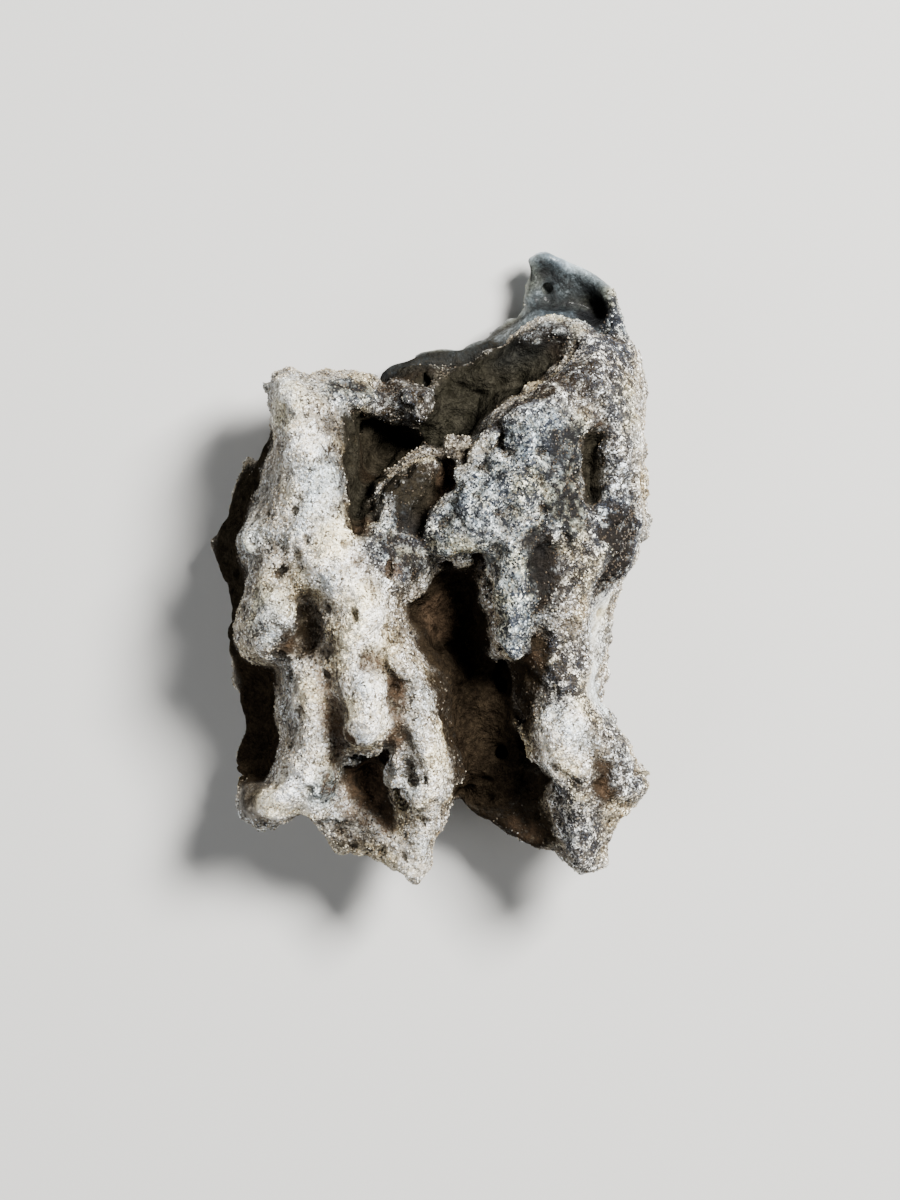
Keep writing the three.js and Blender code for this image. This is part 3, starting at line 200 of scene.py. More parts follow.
LEG = (
    (-12.6, -9.8, 21.6), (-12.4, -11.6, 22.6), (-12, -14, 22.8), (-11.7, -17, 22.4), (-11.9, -19.6, 21.6),
    (-13.8, -10.6, 20.2), (-13.7, -14, 20.4), (-13.5, -17, 20.2), (-14.1, -19.5, 19.8),
    (-10.8, -11.2, 22), (-10.6, -14, 21.8), (-10.6, -17, 21.4), (-10.4, -19.6, 20.6), (-9.7, -11.8, 22.2),
    (-9.4, -13.6, 21.8), (-9.1, -15.6, 21.2), (-9.1, -17.4, 20.6), (-9.7, -18.8, 20.2),
    (-10, -20.8, 19.4), (-10.1, -22.4, 18.6), (-14.8, -10.4, 13), (-14.8, -14, 12.4), (-14.6, -17, 12.6),
    (-15.6, -19.4, 12.4),
)
LEFT_FEET = (
    (-13.6, -20.8, 20.6), (-14.8, -21.9, 19.4), (-16, -23.1, 18.8), (-12.4, -22, 20.2),
    (-11.2, -23.4, 19), (-13.4, -23.6, 19), (-15, -24.8, 18.2), (-17, -23.9, 17.2), (-16.8, -25.2, 16.6),
    (-16, -21, 14.4), (-18.7, -21.7, 15), (-19, -23.2, 15), (-18.6, -25, 14.6), (-18, -23.4, 14.4),
    (-17.6, -25.9, 13.8), (-12.9, -24.6, 17.6),
)
APRON = (
    (-10.5, -25.4, 16.8), (-8.6, -25.6, 15.2), (-9.4, -27.4, 14.6), (-6.8, -27, 14.6), (-4.8, -27.8, 15),
    (-3.4, -28.9, 15.6), (-6, -28.6, 14), (-2.4, -30.2, 15.8),
)
LOWER_LEFT_HOLLOW = (
    (-8.6, -19.4, 16), (-7.4, -20, 14.8), (-5.4, -19.8, 14.4), (-8.8, -21.6, 15.4), (-8.4, -23.6, 15.2),
    (-6.8, -22.2, 14.2), (-5, -22.2, 14.2), (-6.6, -24.8, 14.6), (-4.8, -24.6, 14.4), (-3.6, -26.2, 15),
)
NODULE = (
    (-17.6, -5.6, 21), (-16.4, -4.6, 22.2), (-15.3, -5.8, 22.6), (-16.2, -7.3, 21.4), (-14.7, -7.7, 21.8),
    (-14.3, -6, 22.4), (-19, -5.8, 17.4), (-18.3, -7.8, 17), (-16.4, -9, 17.4), (-14.6, -9.4, 18.4),
    (-13.3, -6.2, 21.2), (-13.4, -8, 20.4), (-14, -0.8, 23), (-15.7, -2.2, 22.2), (-14.4, -3, 22.8),
    (-17, -2.8, 21.4), (-17.4, -0.8, 19.4), (-18.2, -3.4, 17.4), (-18, 0, 15.4), (-12.7, -5, 20.8),
    (-12.4, -7, 20), (-12.2, -8.6, 19.8), (-12.8, -3, 22.2),
)
WING = (
    (-17.9, 10, 9.4), (-19.3, 6.3, 9.2), (-20.8, 3, 8.8), (-20.7, 0, 8.6), (-19.8, -2.6, 8.6),
    (-19.4, -9.2, 8.8), (-18.7, -11, 8.6), (-18, -14, 8.8), (-18.9, -17.4, 9), (-18.7, -20, 10),
    (-16.6, -11, 9.6), (-16.4, -14, 9.8), (-16.4, -17.4, 10.4), (-19.6, 4.4, 9.2), (-20, 1.4, 9),
)
MIDDLE_HOLLOW = (
    (-0.8, -4, 15.8), (1, -2.4, 14.8), (3, -3, 14), (4.8, -2.6, 14.2), (0, -6, 14.8), (2.6, -6, 13.6),
    (4.6, -5.6, 13), (-0.2, -8.4, 16), (2, -8.8, 14.4), (4.2, -9, 13.2), (5.3, -3, 17), (5.4, -6, 16.8),
    (5.8, -8.9, 16), (1.6, -0.4, 17), (3.8, 0, 17.4), (5.3, 0.2, 17.8), (0, -1.6, 18), (1, -10.4, 17),
    (2, -11.6, 16.4),
)
LOWER_VALLEY = (
    (4, -12, 14.6), (6, -12, 14.4), (4.4, -15, 14.2), (6, -15, 13.9), (7.2, -14.6, 13.8),
    (4.8, -18, 13.8), (6.4, -18, 13.2), (4.8, -21, 13), (6.6, -21, 12.8), (4, -23, 12.4),
    (6.4, -24, 11.6), (8.4, -25.6, 11.2), (7.6, -10.8, 12.2), (8.9, -10.6, 17.4), (9, -13, 17.2),
    (8.9, -16, 16.4), (9.2, -18.4, 15.2), (8.7, -20, 14.2), (8.7, -22.4, 13.4), (10.4, -21, 12.2),
    (12, -22.2, 12.8), (7.5, -22.6, 12.4), (9.4, -24.2, 12),
)
TONGUE = (
    (8, 1.6, 26.4), (8, -1, 26.6), (8.2, -4, 26.3), (8.2, -6.6, 25.4), (8.6, -8.6, 23), (6.7, 0, 24.9),
    (6.6, -3, 24.6), (6.9, -6, 23.9), (7.2, -8.2, 22.4), (10, 0.3, 24.8), (10.2, -3, 24.2),
    (10.4, -6, 22.8), (9.8, -8.2, 21.6), (9.6, -9.8, 20), (10.5, -11.4, 19.6),
)
RIGHT_RIDGE = (
    (10.6, 2, 24), (11, 0.2, 23), (11.2, -1.8, 23.3), (12.4, 3, 25.4), (12.5, -0.4, 24.6),
    (12.6, -3, 24.6), (12.8, -6, 23.6), (12.4, -9, 22.4), (13.4, -11.6, 22), (14.8, 3.2, 24.4),
    (14.9, 0, 24), (14.9, -4, 23), (14.8, -8, 22), (14.8, -11.6, 21.4), (11.6, -13.2, 20.4),
    (13.5, 1.4, 23.6), (13.5, -0.7, 23.6),
)
RIGHT_LUMP = (
    (19.9, 4, 21), (18.4, 2.8, 22), (17.7, 0.6, 21.8), (19.2, 1, 20.2), (17.1, -1.6, 20.8),
    (18.1, -1.4, 19.4), (16.6, 3.8, 22.8), (21, 3.7, 17.8), (20, 0.6, 17), (18.7, -2.2, 16.8),
)
RIGHT_WALL = (
    (16, -5, 20.4), (16.9, -5, 17.8), (17.6, -5.6, 14.6), (15.8, -8, 20), (16.7, -8.4, 16.8),
    (15.7, -11, 19.4), (16.5, -12, 16.2), (17.2, -9, 14.4), (16.8, -13, 14.8),
)
KNOB = (
    (13, -14.6, 22.6), (12.2, -16.4, 23.4), (13.7, -16, 23.4), (11.7, -18, 22.8), (13.4, -18.4, 22.6),
    (12.6, -19.9, 21.6), (15, -15.2, 21.6), (15.2, -17.4, 21.2), (10.7, -15.4, 20.8), (10.5, -17.6, 20.4),
    (11, -19.5, 19.4), (10, -15.4, 18), (9.8, -17.8, 17), (10.6, -20.2, 15), (12.4, -21.2, 17.4),
)
RIGHT_FOOT = (
    (13.9, -21, 20.8), (14.4, -23, 20), (15, -25.4, 19.2), (15.4, -27.6, 18.2), (15.4, -29.4, 16.8),
    (12.9, -23, 18), (13, -25.2, 16.6), (13.4, -27.6, 15.4), (11.6, -24.4, 14.2), (8.2, -26.2, 11.2),
    (11, -27.7, 12.6), (13.4, -28.8, 14), (12, -26.2, 13.8), (15.7, -18.7, 21.6), (15.9, -20.6, 21),
    (15.8, -22.8, 20.2), (14.9, -19.8, 20.4),
)
POINTED_SPUR = (
    (16.8, -16, 20.6), (18, -17.6, 20.2), (19.2, -19.4, 19.2), (20.4, -20.9, 18), (21.4, -21.6, 16.8),
    (19.6, -22.3, 18.2), (18.2, -21, 19.2), (18.4, -23.9, 17.8), (17.2, -25.7, 17.4), (16.6, -27.7, 16.6),
    (16.4, -14.7, 19.8), (17.7, -15.6, 18.2), (16.9, -19.4, 19.4), (17, -21, 19), (16.8, -23, 18.8),
)
FRONT = (
    SHOULDER + FLANK + SIDE_KNOB + UPPER_LEFT_HOLLOW + TOP_BAR + SMALL_LOBE + FRONT_WALL_EDGE
    + RECESSED_WALL + BACK_RIM + FINGER + BOSS + BOSS_LEFT_GROOVE + RIGHT_GROOVE + PILLAR
    + SLANTING_SPUR + BRIDGE + MAIN_RIDGE + WHITE_LOBE + MIDDLE_ARM + LEG + LEFT_FEET + APRON
    + LOWER_LEFT_HOLLOW + NODULE + WING + MIDDLE_HOLLOW + LOWER_VALLEY + TONGUE + RIGHT_RIDGE
    + RIGHT_LUMP + RIGHT_WALL + KNOB + RIGHT_FOOT + POINTED_SPUR
)

# The back: four long low ridges, on which the piece rests, the troughs between them, and the
# underside of the wing, the finger and the feet.
BACK = (
    (-4, 16, 3.4), (-4.5, 8, 0.1), (-3, 0, 0), (-5, -8.4, 0), (-3.5, -16, 1.3), (-2.5, -22, 4),
    (13, 17, 3.4), (14.4, 10, 0.3), (12, 0, 0), (13, -9, 0.1), (12, -17, 1.5), (12, -23, 5),
    (4.4, 9.6, 1.5), (5, -3, 1.1), (1.4, -15, 0.6), (-13, 2.6, 3), (-14, -7, 0.6), (-12, -15, 0.4),
    (-11, -21, 4), (0.5, 13, 4.4), (0.5, 3, 4), (1, -8, 3.8), (9.4, 13, 4.4), (9, 3, 4), (9, -6, 3.8),
    (7, -14, 4), (-9, 8, 4.4), (-9, -2, 4.2), (-9.4, -12, 3.8), (5, -21, 5.6), (-21, 2.5, 6), (-20, 6, 6),
    (-17, 11, 6.6), (-20, -3, 5.8), (-19, -9, 5.4), (-18.4, -14, 5.6), (-19, -19, 6), (-18.6, -24, 9),
    (-16, -25, 9.6), (-13, -24.4, 9), (-15.6, 18, 9.6), (-12, 18.4, 8.6), (-8, 18.6, 7.6), (-14, 14, 6.6),
    (-4, 19.8, 5.6), (0, 20.6, 5), (5, 22, 4.6), (9, 24.4, 4.4), (11, 27, 3.8), (11.6, 30.4, 4.6),
    (15, 28.6, 4), (17.4, 28, 5), (18.4, 25, 5.8), (15, 25, 2.6), (19.6, 22, 6.8), (20.6, 18, 8),
    (21, 12, 8.4), (21, 6, 8.4), (21, 3.4, 8.8), (19.4, 0, 7.8), (18, -4, 7.4), (17.4, -9, 7),
    (17, -13, 7.2), (19, -17, 9), (21.6, -21.4, 12.2), (18.6, -25.6, 11), (17, -29, 11),
    (15.2, -30.4, 11.4), (13, -28.6, 9.2), (10, -27, 7.8), (6, -25, 7), (3, -23, 6.6), (1.4, -25, 8),
    (0, -29, 10.4), (-2, -31, 12), (-4, -29.6, 10.6), (-8, -28.6, 9.6), (-10.4, -27, 9),
)


def spline_weights(count, wave, cells):
    """How much each of a row of random values counts at each grid step, as a smooth curve through them."""
    at = np.arange(count) * GRID / wave + 1.0
    first = np.floor(at).astype(int)
    t = at - first
    weights = np.zeros((count, cells), np.float32)
    shares = (
        (1 - t) ** 3 / 6,
        (3 * t**3 - 6 * t**2 + 4) / 6,
        (-3 * t**3 + 3 * t**2 + 3 * t + 1) / 6,
        t**3 / 6,
    )
    for step, share in enumerate(shares):
        weights[np.arange(count), first - 1 + step] = share
    return weights


def soft_min(a, b, width):
    """Two depths blended over a width, as two runs of melt join."""
    share = np.clip(0.5 + 0.5 * (b - a) / width, 0, 1)
    return b * (1 - share) + a * share - width * share * (1 - share)


def soft_max(a, b, width):
    return -soft_min(-a, -b, width)


def chain_of(points):
    """Points (x, y, z, radius) as an array; one point alone becomes a very short chain."""
    points = np.array(points, float)
    if len(points) == 1:
        points = np.vstack([points, points + [0.01, 0, 0, 0]])
    return points


class Melt:
    """The field of depths: negative inside the glass, positive in the air."""

    def __init__(self):
        self.count = np.ceil((FIELD_HIGH - FIELD_LOW) / GRID).astype(int) + 1
        lines = [(FIELD_LOW[i] + GRID * np.arange(self.count[i])).astype(np.float32) for i in range(3)]
        self.plan = np.stack(np.meshgrid(lines[0], lines[1], indexing="ij"), axis=2)
        self.place = [np.array(np.broadcast_to(a, self.count)) for a in np.ix_(*lines)]
        self.level = self.place[2].copy()

    def lumps(self, wave, seed):
        """Smooth random lumps about one wave across, from about -1 to 1."""
        cells = (self.count * GRID / wave).astype(int) + 5
        values = np.random.default_rng(seed).uniform(-1, 1, cells).astype(np.float32)
        for i in range(3):
            weights = spline_weights(self.count[i], wave, cells[i])
            values = np.moveaxis(np.tensordot(weights, values, axes=(1, i)), 0, i)
        return values * LUMP_GAIN

    def sway(self, wave, amount, seed):
        """Bends the space that the shapes are laid in, so that nothing stays straight or round."""
        for i in range(3):
            self.place[i] += amount * self.lumps(wave, seed + i)

    def sheet(self, points):
        """The heights of a smooth sheet through points (x, y, height), over the plan."""
        points = np.array(points, float)
        mean = points[:, 2].mean()
        gaps = np.linalg.norm(points[:, None, :2] - points[None, :, :2], axis=2)
        pull = np.linalg.solve(np.hypot(gaps, STIFFNESS) - SLACK * np.eye(len(points)), points[:, 2] - mean)
        heights = np.full(self.plan.shape[:2], mean)
        for (x, y, _), share in zip(points, pull):
            away_squared = (self.plan[..., 0] - x) ** 2 + (self.plan[..., 1] - y) ** 2
            heights += share * np.sqrt(away_squared + STIFFNESS**2)
        return np.minimum(heights, points[:, 2].max() + 0.3).astype(np.float32)

    def rim(self, outline):
        """The distance outside an outline, over the plan; negative within it."""
        x, y = self.plan[..., 0], self.plan[..., 1]
        nearest = np.full(x.shape, np.inf)
        within = np.zeros(x.shape, bool)
        for (ax, ay), (bx, by) in zip(outline, outline[1:] + outline[:1]):
            run_x, run_y = bx - ax, by - ay
            t = np.clip(((x - ax) * run_x + (y - ay) * run_y) / (run_x**2 + run_y**2), 0, 1)
            nearest = np.minimum(nearest, np.hypot(x - ax - t * run_x, y - ay - t * run_y))
            if run_y:
                within ^= ((ay > y) != (by > y)) & (x < ax + (y - ay) * run_x / run_y)
        return np.where(within, -nearest, nearest).astype(np.float32)

    def over(self, plan_values):
        """Values over the plan, read at every place of the bent space."""
        at = [(self.place[i] - FIELD_LOW[i]) / GRID for i in range(2)]
        i, j = [np.clip(np.floor(at[i]).astype(np.int32), 0, self.count[i] - 2) for i in range(2)]
        s, t = at[0] - i, at[1] - j
        near = plan_values[i, j] * (1 - s) + plan_values[i + 1, j] * s
        far = plan_values[i, j + 1] * (1 - s) + plan_values[i + 1, j + 1] * s
        return near * (1 - t) + far * t

    def fill(self, front, back, outline):
        """Fills the space between the back sheet and the front sheet, within the outline."""
        z = self.place[2]
        top, bottom, side = (self.over(values) for values in (front, back, outline))
        lean = []
        for sheet in (front, back):
            slope = np.minimum(np.hypot(*np.gradient(sheet, GRID)), STEEPEST)
            lean.append(self.over(np.hypot(1, slope)))
        above = (z - top) / lean[0]
        below = (bottom - z) / lean[1]
        thickness = np.maximum(top - bottom, 1)
        side += BULGE * (z - (top + bottom) / 2) ** 2
        fold = np.clip(0.45 * thickness, FOLD, WIDEST_FOLD)
        self.depth = soft_max(soft_max(above, below, FOLD), side, fold)

    def window(self, low, high):
        """The part of the field between two corners."""
        first = np.clip(np.floor((low - FIELD_LOW) / GRID).astype(int), 0, self.count)
        last = np.clip(np.ceil((high - FIELD_LOW) / GRID).astype(int) + 1, 0, self.count)
        return tuple(slice(a, b) for a, b in zip(first, last))

    def lay(self, points, cut, blend, drop=0.0, rise=0.0, flare=0.0, thick=0.0):
        """Adds or cuts a bar along points (x, y, z, radius). Drop and rise draw it down or up into a fin
        that flare widens. With thick it is a flat, level bar, and radius is half its width."""
        points = chain_of(points)
        reach = max(points[:, 3].max() + flare * (drop + rise), thick) + blend + ROOM
        low, high = points[:, :3].min(0) - reach, points[:, :3].max(0) + reach
        low[2] -= drop
        high[2] += rise
        part = self.window(low, high)
        x, y, z = (axis[part] for axis in self.place)
        upright = 0.0 if drop or rise else 1.0
        nearest = np.inf
        for a, b in zip(points[:-1], points[1:]):
            run = b[:3] - a[:3]
            length_squared = run[0] ** 2 + run[1] ** 2 + upright * run[2] ** 2 + 1e-9
            t = (x - a[0]) * run[0] + (y - a[1]) * run[1] + upright * (z - a[2]) * run[2]
            t = np.clip(t / length_squared, 0, 1)
            off = [axis - a[i] - t * run[i] for i, axis in enumerate((x, y, z))]
            radius = a[3] + t * (b[3] - a[3])
            if thick:
                across = np.cross(run, (0, 0, 1))
                across /= np.linalg.norm(across)
                sideways = sum(o * n for o, n in zip(off, across))
                beyond = np.maximum(sum(o * o for o in off) - off[2] ** 2 - sideways**2, 0)
                past = np.maximum(np.abs(sideways) - (radius - thick), 0)
                distance = np.sqrt(past**2 + beyond + off[2] ** 2) - thick
            else:
                radius = radius + flare * np.clip(off[2] if rise else -off[2], 0, drop + rise)
                off[2] = np.where(off[2] < 0, np.minimum(0, off[2] + drop), np.maximum(0, off[2] - rise))
                distance = np.sqrt(off[0] ** 2 + off[1] ** 2 + off[2] ** 2) - radius
            nearest = np.minimum(nearest, distance)
        here = self.depth[part]
        self.depth[part] = soft_max(here, -nearest, blend) if cut else soft_min(here, nearest, blend)


melt = Melt()
melt.sway(7.0, 0.30, seed=21)
melt.sway(2.6, 0.40, seed=31)
melt.fill(melt.sheet(FRONT), melt.sheet(BACK), melt.rim(OUTLINE))


def ridge(*points, drop, blend, flare=0.0):
    melt.lay(points, False, blend, drop=drop, flare=flare)


def hollow(*points, rise=0.0, blend=LIP):
    melt.lay(points, True, blend, rise=rise)


def slot(*points, thick, blend):
    melt.lay(points, True, blend, thick=thick)


# The bore, open at the top end, the deep pocket beside the front wall, and the finger's pin hole.
slot((11, 26.4, 9.4, 5.5), (8, 22.2, 9.2, 7.5), (6, 18.4, 8.9, 7.5), (5, 11.6, 8.6, 6), (5, 2.6, 8.4, 4.5),
     thick=1.5, blend=0.6)
slot((-2.4, 21, 10.6, 2.2), (-2.4, 16.5, 10.4, 2), thick=1.2, blend=0.5)
hollow((16.7, 25.6, 9.5, 1.4), (16.6, 23, 10.5, 1.4), (16, 19.6, 11, 1.4))
hollow((12, 27.9, 5, 0.6), rise=6, blend=0.2)

# Undercuts: below the top bar, the white lobe, the boss's lower tip, the tongue and the arm.
hollow((-6.6, 14.6, 13.4, 1.3), (-4.4, 15, 11.8, 1.5), (-2.4, 14.6, 11, 1.3))
hollow((-7.4, -18.4, 17.5, 1.2), (-5.2, -18.4, 17.2, 1.5), (-3.4, -19.6, 16.4, 1.2))
hollow((1.4, 0.4, 18.6, 1.1), (4, 1.2, 18.8, 1.4), (6.2, 0.2, 19, 1.3), (6.9, -4, 19, 1.2),
       (7.3, -7.6, 18.6, 0.9))
hollow((-3.4, -21.4, 17.2, 1), (-2.8, -24, 16.6, 0.7))
hollow((9.6, -15.6, 15.8, 0.8), (10, -19.6, 14.6, 1), (11.6, -21.6, 14.4, 0.9))
hollow((7.5, -9.8, 13.4, 0.8), (7.5, -12, 12.4, 0.8), rise=2, blend=0.6)
hollow((7.3, -18.9, 11.4, 0.65), rise=4, blend=0.5)

# Thin lips and curls: the splinter by the spur, the boss's curled lips, the arm's nub and loop.
ridge((-6.3, 5.2, 20.8, 0.35), (-6.2, 4.2, 21.6, 0.5), (-5.8, 2.6, 22.6, 0.8), drop=3, flare=0.2, blend=0.9)
ridge((3.6, 12.2, 21.6, 0.5), (2.6, 11.9, 21.2, 0.5), (2.2, 11, 20.8, 0.4), (2.9, 10.4, 20.8, 0.4),
      drop=1.2, blend=0.5)
ridge((6.8, 12.2, 23.2, 0.6), (5.4, 11.2, 22.6, 0.7), (4.6, 9.6, 22.4, 0.8), (3.6, 8.6, 23, 0.8),
      drop=2, blend=0.6)
ridge((1.8, 5.4, 23.6, 0.5), (0.5, 4.7, 23.2, 0.5), (0.1, 3.5, 23, 0.45), (0.8, 2.3, 23.4, 0.5),
      (1.8, 1.2, 23.8, 0.6), drop=1.5, blend=0.5)
ridge((-2.5, -8.2, 25, 0.5), (-3.2, -8.7, 25.6, 0.55), (-3.3, -9.7, 25.4, 0.6), (-2.2, -10.9, 24.6, 0.8),
      drop=1.5, blend=0.5)
ridge((-3.2, -18.3, 21.8, 0.5), (-3.8, -19.6, 21.2, 0.4), (-3.7, -21.2, 20.6, 0.4), (-2.6, -22.6, 20.4, 0.5),
      (-1.6, -23.8, 20.4, 0.7), drop=1, blend=0.5)

# Small holes: in the lips, the loop, the boss's window, the bridge, the neck and beside the slit.
# Each has how far it is drawn up, the rounding of its lip, and its points.
for rise, blend, *points in (
    (3, 0.3, (1.3, 4.2, 23, 0.5)),
    (3, 0.3, (3.1, 11.3, 20.6, 0.5)),
    (3, 0.3, (7.5, 15.1, 23, 0.5), (7.2, 15.6, 23, 0.4)),
    (4, 0.4, (7, 10.8, 23.4, 0.35), (7.3, 12.4, 23, 0.4)),
    (3, 0.6, (2.2, 8.1, 18.6, 0.8)),
    (3, 0.5, (-2.6, -20, 20.3, 0.4), (-1.9, -21.6, 20.1, 0.5)),
    (4, 0.3, (-7.4, 0.1, 25, 0.35), (-6.8, 0.4, 25, 0.4)),
    (4, 0.4, (-4, 0.1, 24, 0.45), (-3.9, -1, 23.8, 0.5)),
    (3, 0.4, (-14.8, -0.6, 22.2, 0.5), (-15.4, -1.3, 21.6, 0.5)),
    (3, 0.5, (-17.4, -7, 20.4, 0.6)),
    (3, 0.6, (-14, -7.2, 21.8, 0.3), (-14.3, -8.4, 21.2, 0.35)),
    (2, 0.9, (-5.9, -9.5, 25.9, 0.7)),
    (2, 0.5, (-7.5, -17, 24.2, 0.4)),
    (4, 0.4, (-0.3, 18.9, 11, 0.5), (-0.2, 18, 12, 0.4)),
    (4, 0.4, (-4.7, 18.6, 10.6, 0.6)),
    (2, 0.4, (18.2, -18.3, 20.2, 0.5)),
    (2, 0.4, (18.1, -20.5, 19.4, 0.45)),
    (2, 0.5, (0.5, -5.4, 14.6, 0.7)),
    (2, 0.5, (2, -8.4, 14, 0.8)),
    (2, 0.4, (14.9, -19.8, 20, 0.5), (15.1, -21, 19.8, 0.4)),
):
    hollow(*points, rise=rise, blend=blend)


def box_blur(values, steps):
    """Each value becomes the mean over a cube of steps to each side."""
    for i in range(3):
        values = np.moveaxis(values, i, 0)
        padded = np.pad(values, [(steps + 1, steps), (0, 0), (0, 0)], mode="edge").astype(np.float64)
        total = np.cumsum(padded, axis=0)
        values = ((total[2 * steps + 1:] - total[:-2 * steps - 1]) / (2 * steps + 1)).astype(np.float32)
        values = np.moveaxis(values, 0, i)
    return values


def distance_to(places, points):
    """Distance from each place to a chain of points (x, y, z, radius)."""
    points = chain_of(points)
    nearest = np.full(len(places), np.inf)
    for a, b in zip(points[:-1], points[1:]):
        run = b[:3] - a[:3]
        t = np.clip((places - a[:3]) @ run / (run @ run), 0, 1)
        off = places - a[:3] - t[:, None] * run
        nearest = np.minimum(nearest, np.linalg.norm(off, axis=1) - a[3] - t * (b[3] - a[3]))
    return nearest


def patch(places, *chains, fade):
    """1 within the chains, falling to 0 over the fade."""
    nearest = np.min([distance_to(places, chain) for chain in chains], axis=0)
    t = np.clip(1 - nearest / fade, 0, 1)
    return t * t * (3 - 2 * t)


# The glassy parts, where the melt ran smooth: the finger and its rim, and the back wall's lip.
GLASSY = (
    [(13.5, 23.5, 6, 3.5), (14, 29, 6, 4)],
    [(11, 30, 7, 1.5), (11, 26, 7, 1.5)],
    [(-4, 19.5, 8, 1.5), (0, 20.8, 7.6, 1.6), (5, 22, 7, 2), (9.5, 24, 6.6, 2)],
)
GLASSY_FADE = 1.5
# The parts that melted more evenly than the boss and the rim did: the shoulder, the lobe, the arm,
# the leg and feet, the apron, the wing, the valley, the right wall and the knob.
CALM = (
    [(-14, 16, 20, 3), (-12, 6, 24, 3), (-9, -3, 26, 3)], [(-6, -8, 26, 2.5), (-6, -17, 26, 2.5)],
    [(-1, -12, 23, 2), (0, -22, 22, 2), (-1, -29, 18, 2)],
    [(-12, -11, 22, 2.5), (-12, -19, 21, 2.5), (-15, -24, 18, 3)], [(-8, -27, 15, 2.5), (-3, -28, 16, 2)],
    [(-19.5, 6, 9, 3), (-18, -16, 9, 3.5)], [(4.5, -12, 14, 3), (6, -24, 12, 3)],
    [(17.5, -4, 17, 2), (17, -12, 17, 2)], [(13, -16, 22, 2.5)],
)
COARSE = 4                                # the zones are worked out on every fourth place of the field
coarse_lines = [FIELD_LOW[i] + COARSE * GRID * np.arange(math.ceil(melt.count[i] / COARSE)) for i in range(3)]
coarse_places = np.stack([axis.ravel() for axis in np.meshgrid(*coarse_lines, indexing="ij")], axis=1)


def zone(*chains, fade):
    """How far each place of the field lies within the chains."""
    values = patch(coarse_places, *chains, fade=fade).astype(np.float32)
    values = values.reshape([len(line) for line in coarse_lines])
    for i in range(3):
        values = np.repeat(values, COARSE, axis=i)
    values = values[tuple(slice(0, n) for n in melt.count)]
    return box_blur(box_blur(values, 3), 2)


smooth_zone = zone(*GLASSY, fade=GLASSY_FADE)
roughness = (1 - 0.85 * smooth_zone) * (1 - 0.42 * zone(*CALM, fade=3.0))

# Lumps of half-melted sand at five sizes, fainter where the glass is smooth.
melt.depth += roughness * (0.26 * melt.lumps(4.4, 11) + 0.2 * melt.lumps(2.4, 12))
melt.depth += roughness * (0.1 - 0.46 * np.abs(melt.lumps(2.0, 15)))
melt.depth += roughness * (0.12 - 0.56 * np.abs(melt.lumps(1.3, 13)) + 0.34 * melt.lumps(0.8, 14))

# Burst bubbles: small pits strewn over the rough skin, few of them large.
strewn = np.random.default_rng(5)
rough_skin = np.argwhere((np.abs(melt.depth) < 0.6 * GRID) & (smooth_zone < 0.4))
for centre in rough_skin[strewn.choice(len(rough_skin), PITS, replace=False)]:
    spot = [axis[tuple(centre)] for axis in melt.place]
    size = 0.2 + 0.45 * strewn.random() ** 2
    melt.lay([(*spot, size)], True, PIT_LIP)

melt.depth = np.maximum(melt.depth, BASE_LEVEL - melt.level)
for i in range(3):                        # nothing reaches the field's outer faces
    edge = [slice(None)] * 3
    for side in (0, -1):
        edge[i] = side
        melt.depth[tuple(edge)] = OUTSIDE


def biggest_shell(corners, squares):
    """The faces of the largest closed shell: what is left without loose crumbs and sealed bubbles."""
    label = np.arange(len(corners))
    a = squares.T.ravel()
    b = np.roll(squares, -1, axis=1).T.ravel()
    while True:
        low = np.minimum(label[a], label[b])
        last = label.copy()
        np.minimum.at(label, a, low)
        np.minimum.at(label, b, low)
        label = label[label]
        if (label == last).all():
            break
    shell = label[squares[:, 0]]
    names, sizes = np.unique(shell, return_counts=True)
    return squares[shell == names[sizes.argmax()]]


volume = openvdb.FloatGrid()
volume.background = OUTSIDE
volume.copyFromArray(melt.depth)
corners, squares = volume.convertToQuads(isovalue=0.0)
squares = biggest_shell(corners, squares)
used, squares = np.unique(squares, return_inverse=True)
squares = squares.reshape(-1, 4)
corners = corners[used] * GRID + FIELD_LOW
middle = (corners.min(0) + corners.max(0)) / 2
shift = np.array([-middle[0], -middle[1], -BASE_LEVEL])
mesh = bpy.data.meshes.new("fulgurite_body")
mesh.from_pydata((corners + shift) * MM, [], squares.tolist())
body = bpy.data.objects.new("fulgurite_body", mesh)
bpy.context.scene.collection.objects.link(body)

# Fewer faces on the flatter parts, more where the skin curves.
thin = body.modifiers.new("thin", "DECIMATE")
thin.ratio = min(1.0, TRIANGLES / (2 * len(squares)))
thinned = bpy.data.meshes.new_from_object(body.evaluated_get(bpy.context.evaluated_depsgraph_get()))
body.modifiers.remove(thin)
body.data = thinned
thinned.shade_smooth()


def softened(occupied, reach):
    """The share of glass within about a reach of each node of the field."""
    steps = max(1, round(reach / GRID / 2))
    return box_blur(box_blur(occupied, steps), steps)


def sampled(values, places):
    """The field's values at places given in millimetres, by the eight nearest nodes."""
    at = (places - FIELD_LOW) / GRID
    first = np.clip(np.floor(at).astype(int), 0, np.array(values.shape) - 2)
    t = (at - first).astype(np.float32)
    total = np.zeros(len(places), np.float32)
    for corner in range(8):
        step = np.array([corner & 1, corner >> 1 & 1, corner >> 2 & 1])
        share = np.prod(np.where(step, t, 1 - t), axis=1)
        total += share * values[tuple((first + step).T)]
    return total


def of_each_vertex(name):
    """A vector of each vertex of the body, such as its place."""
    values = np.empty(len(thinned.vertices) * 3, np.float32)
    thinned.vertices.foreach_get(name, values)
    return values.reshape(-1, 3)


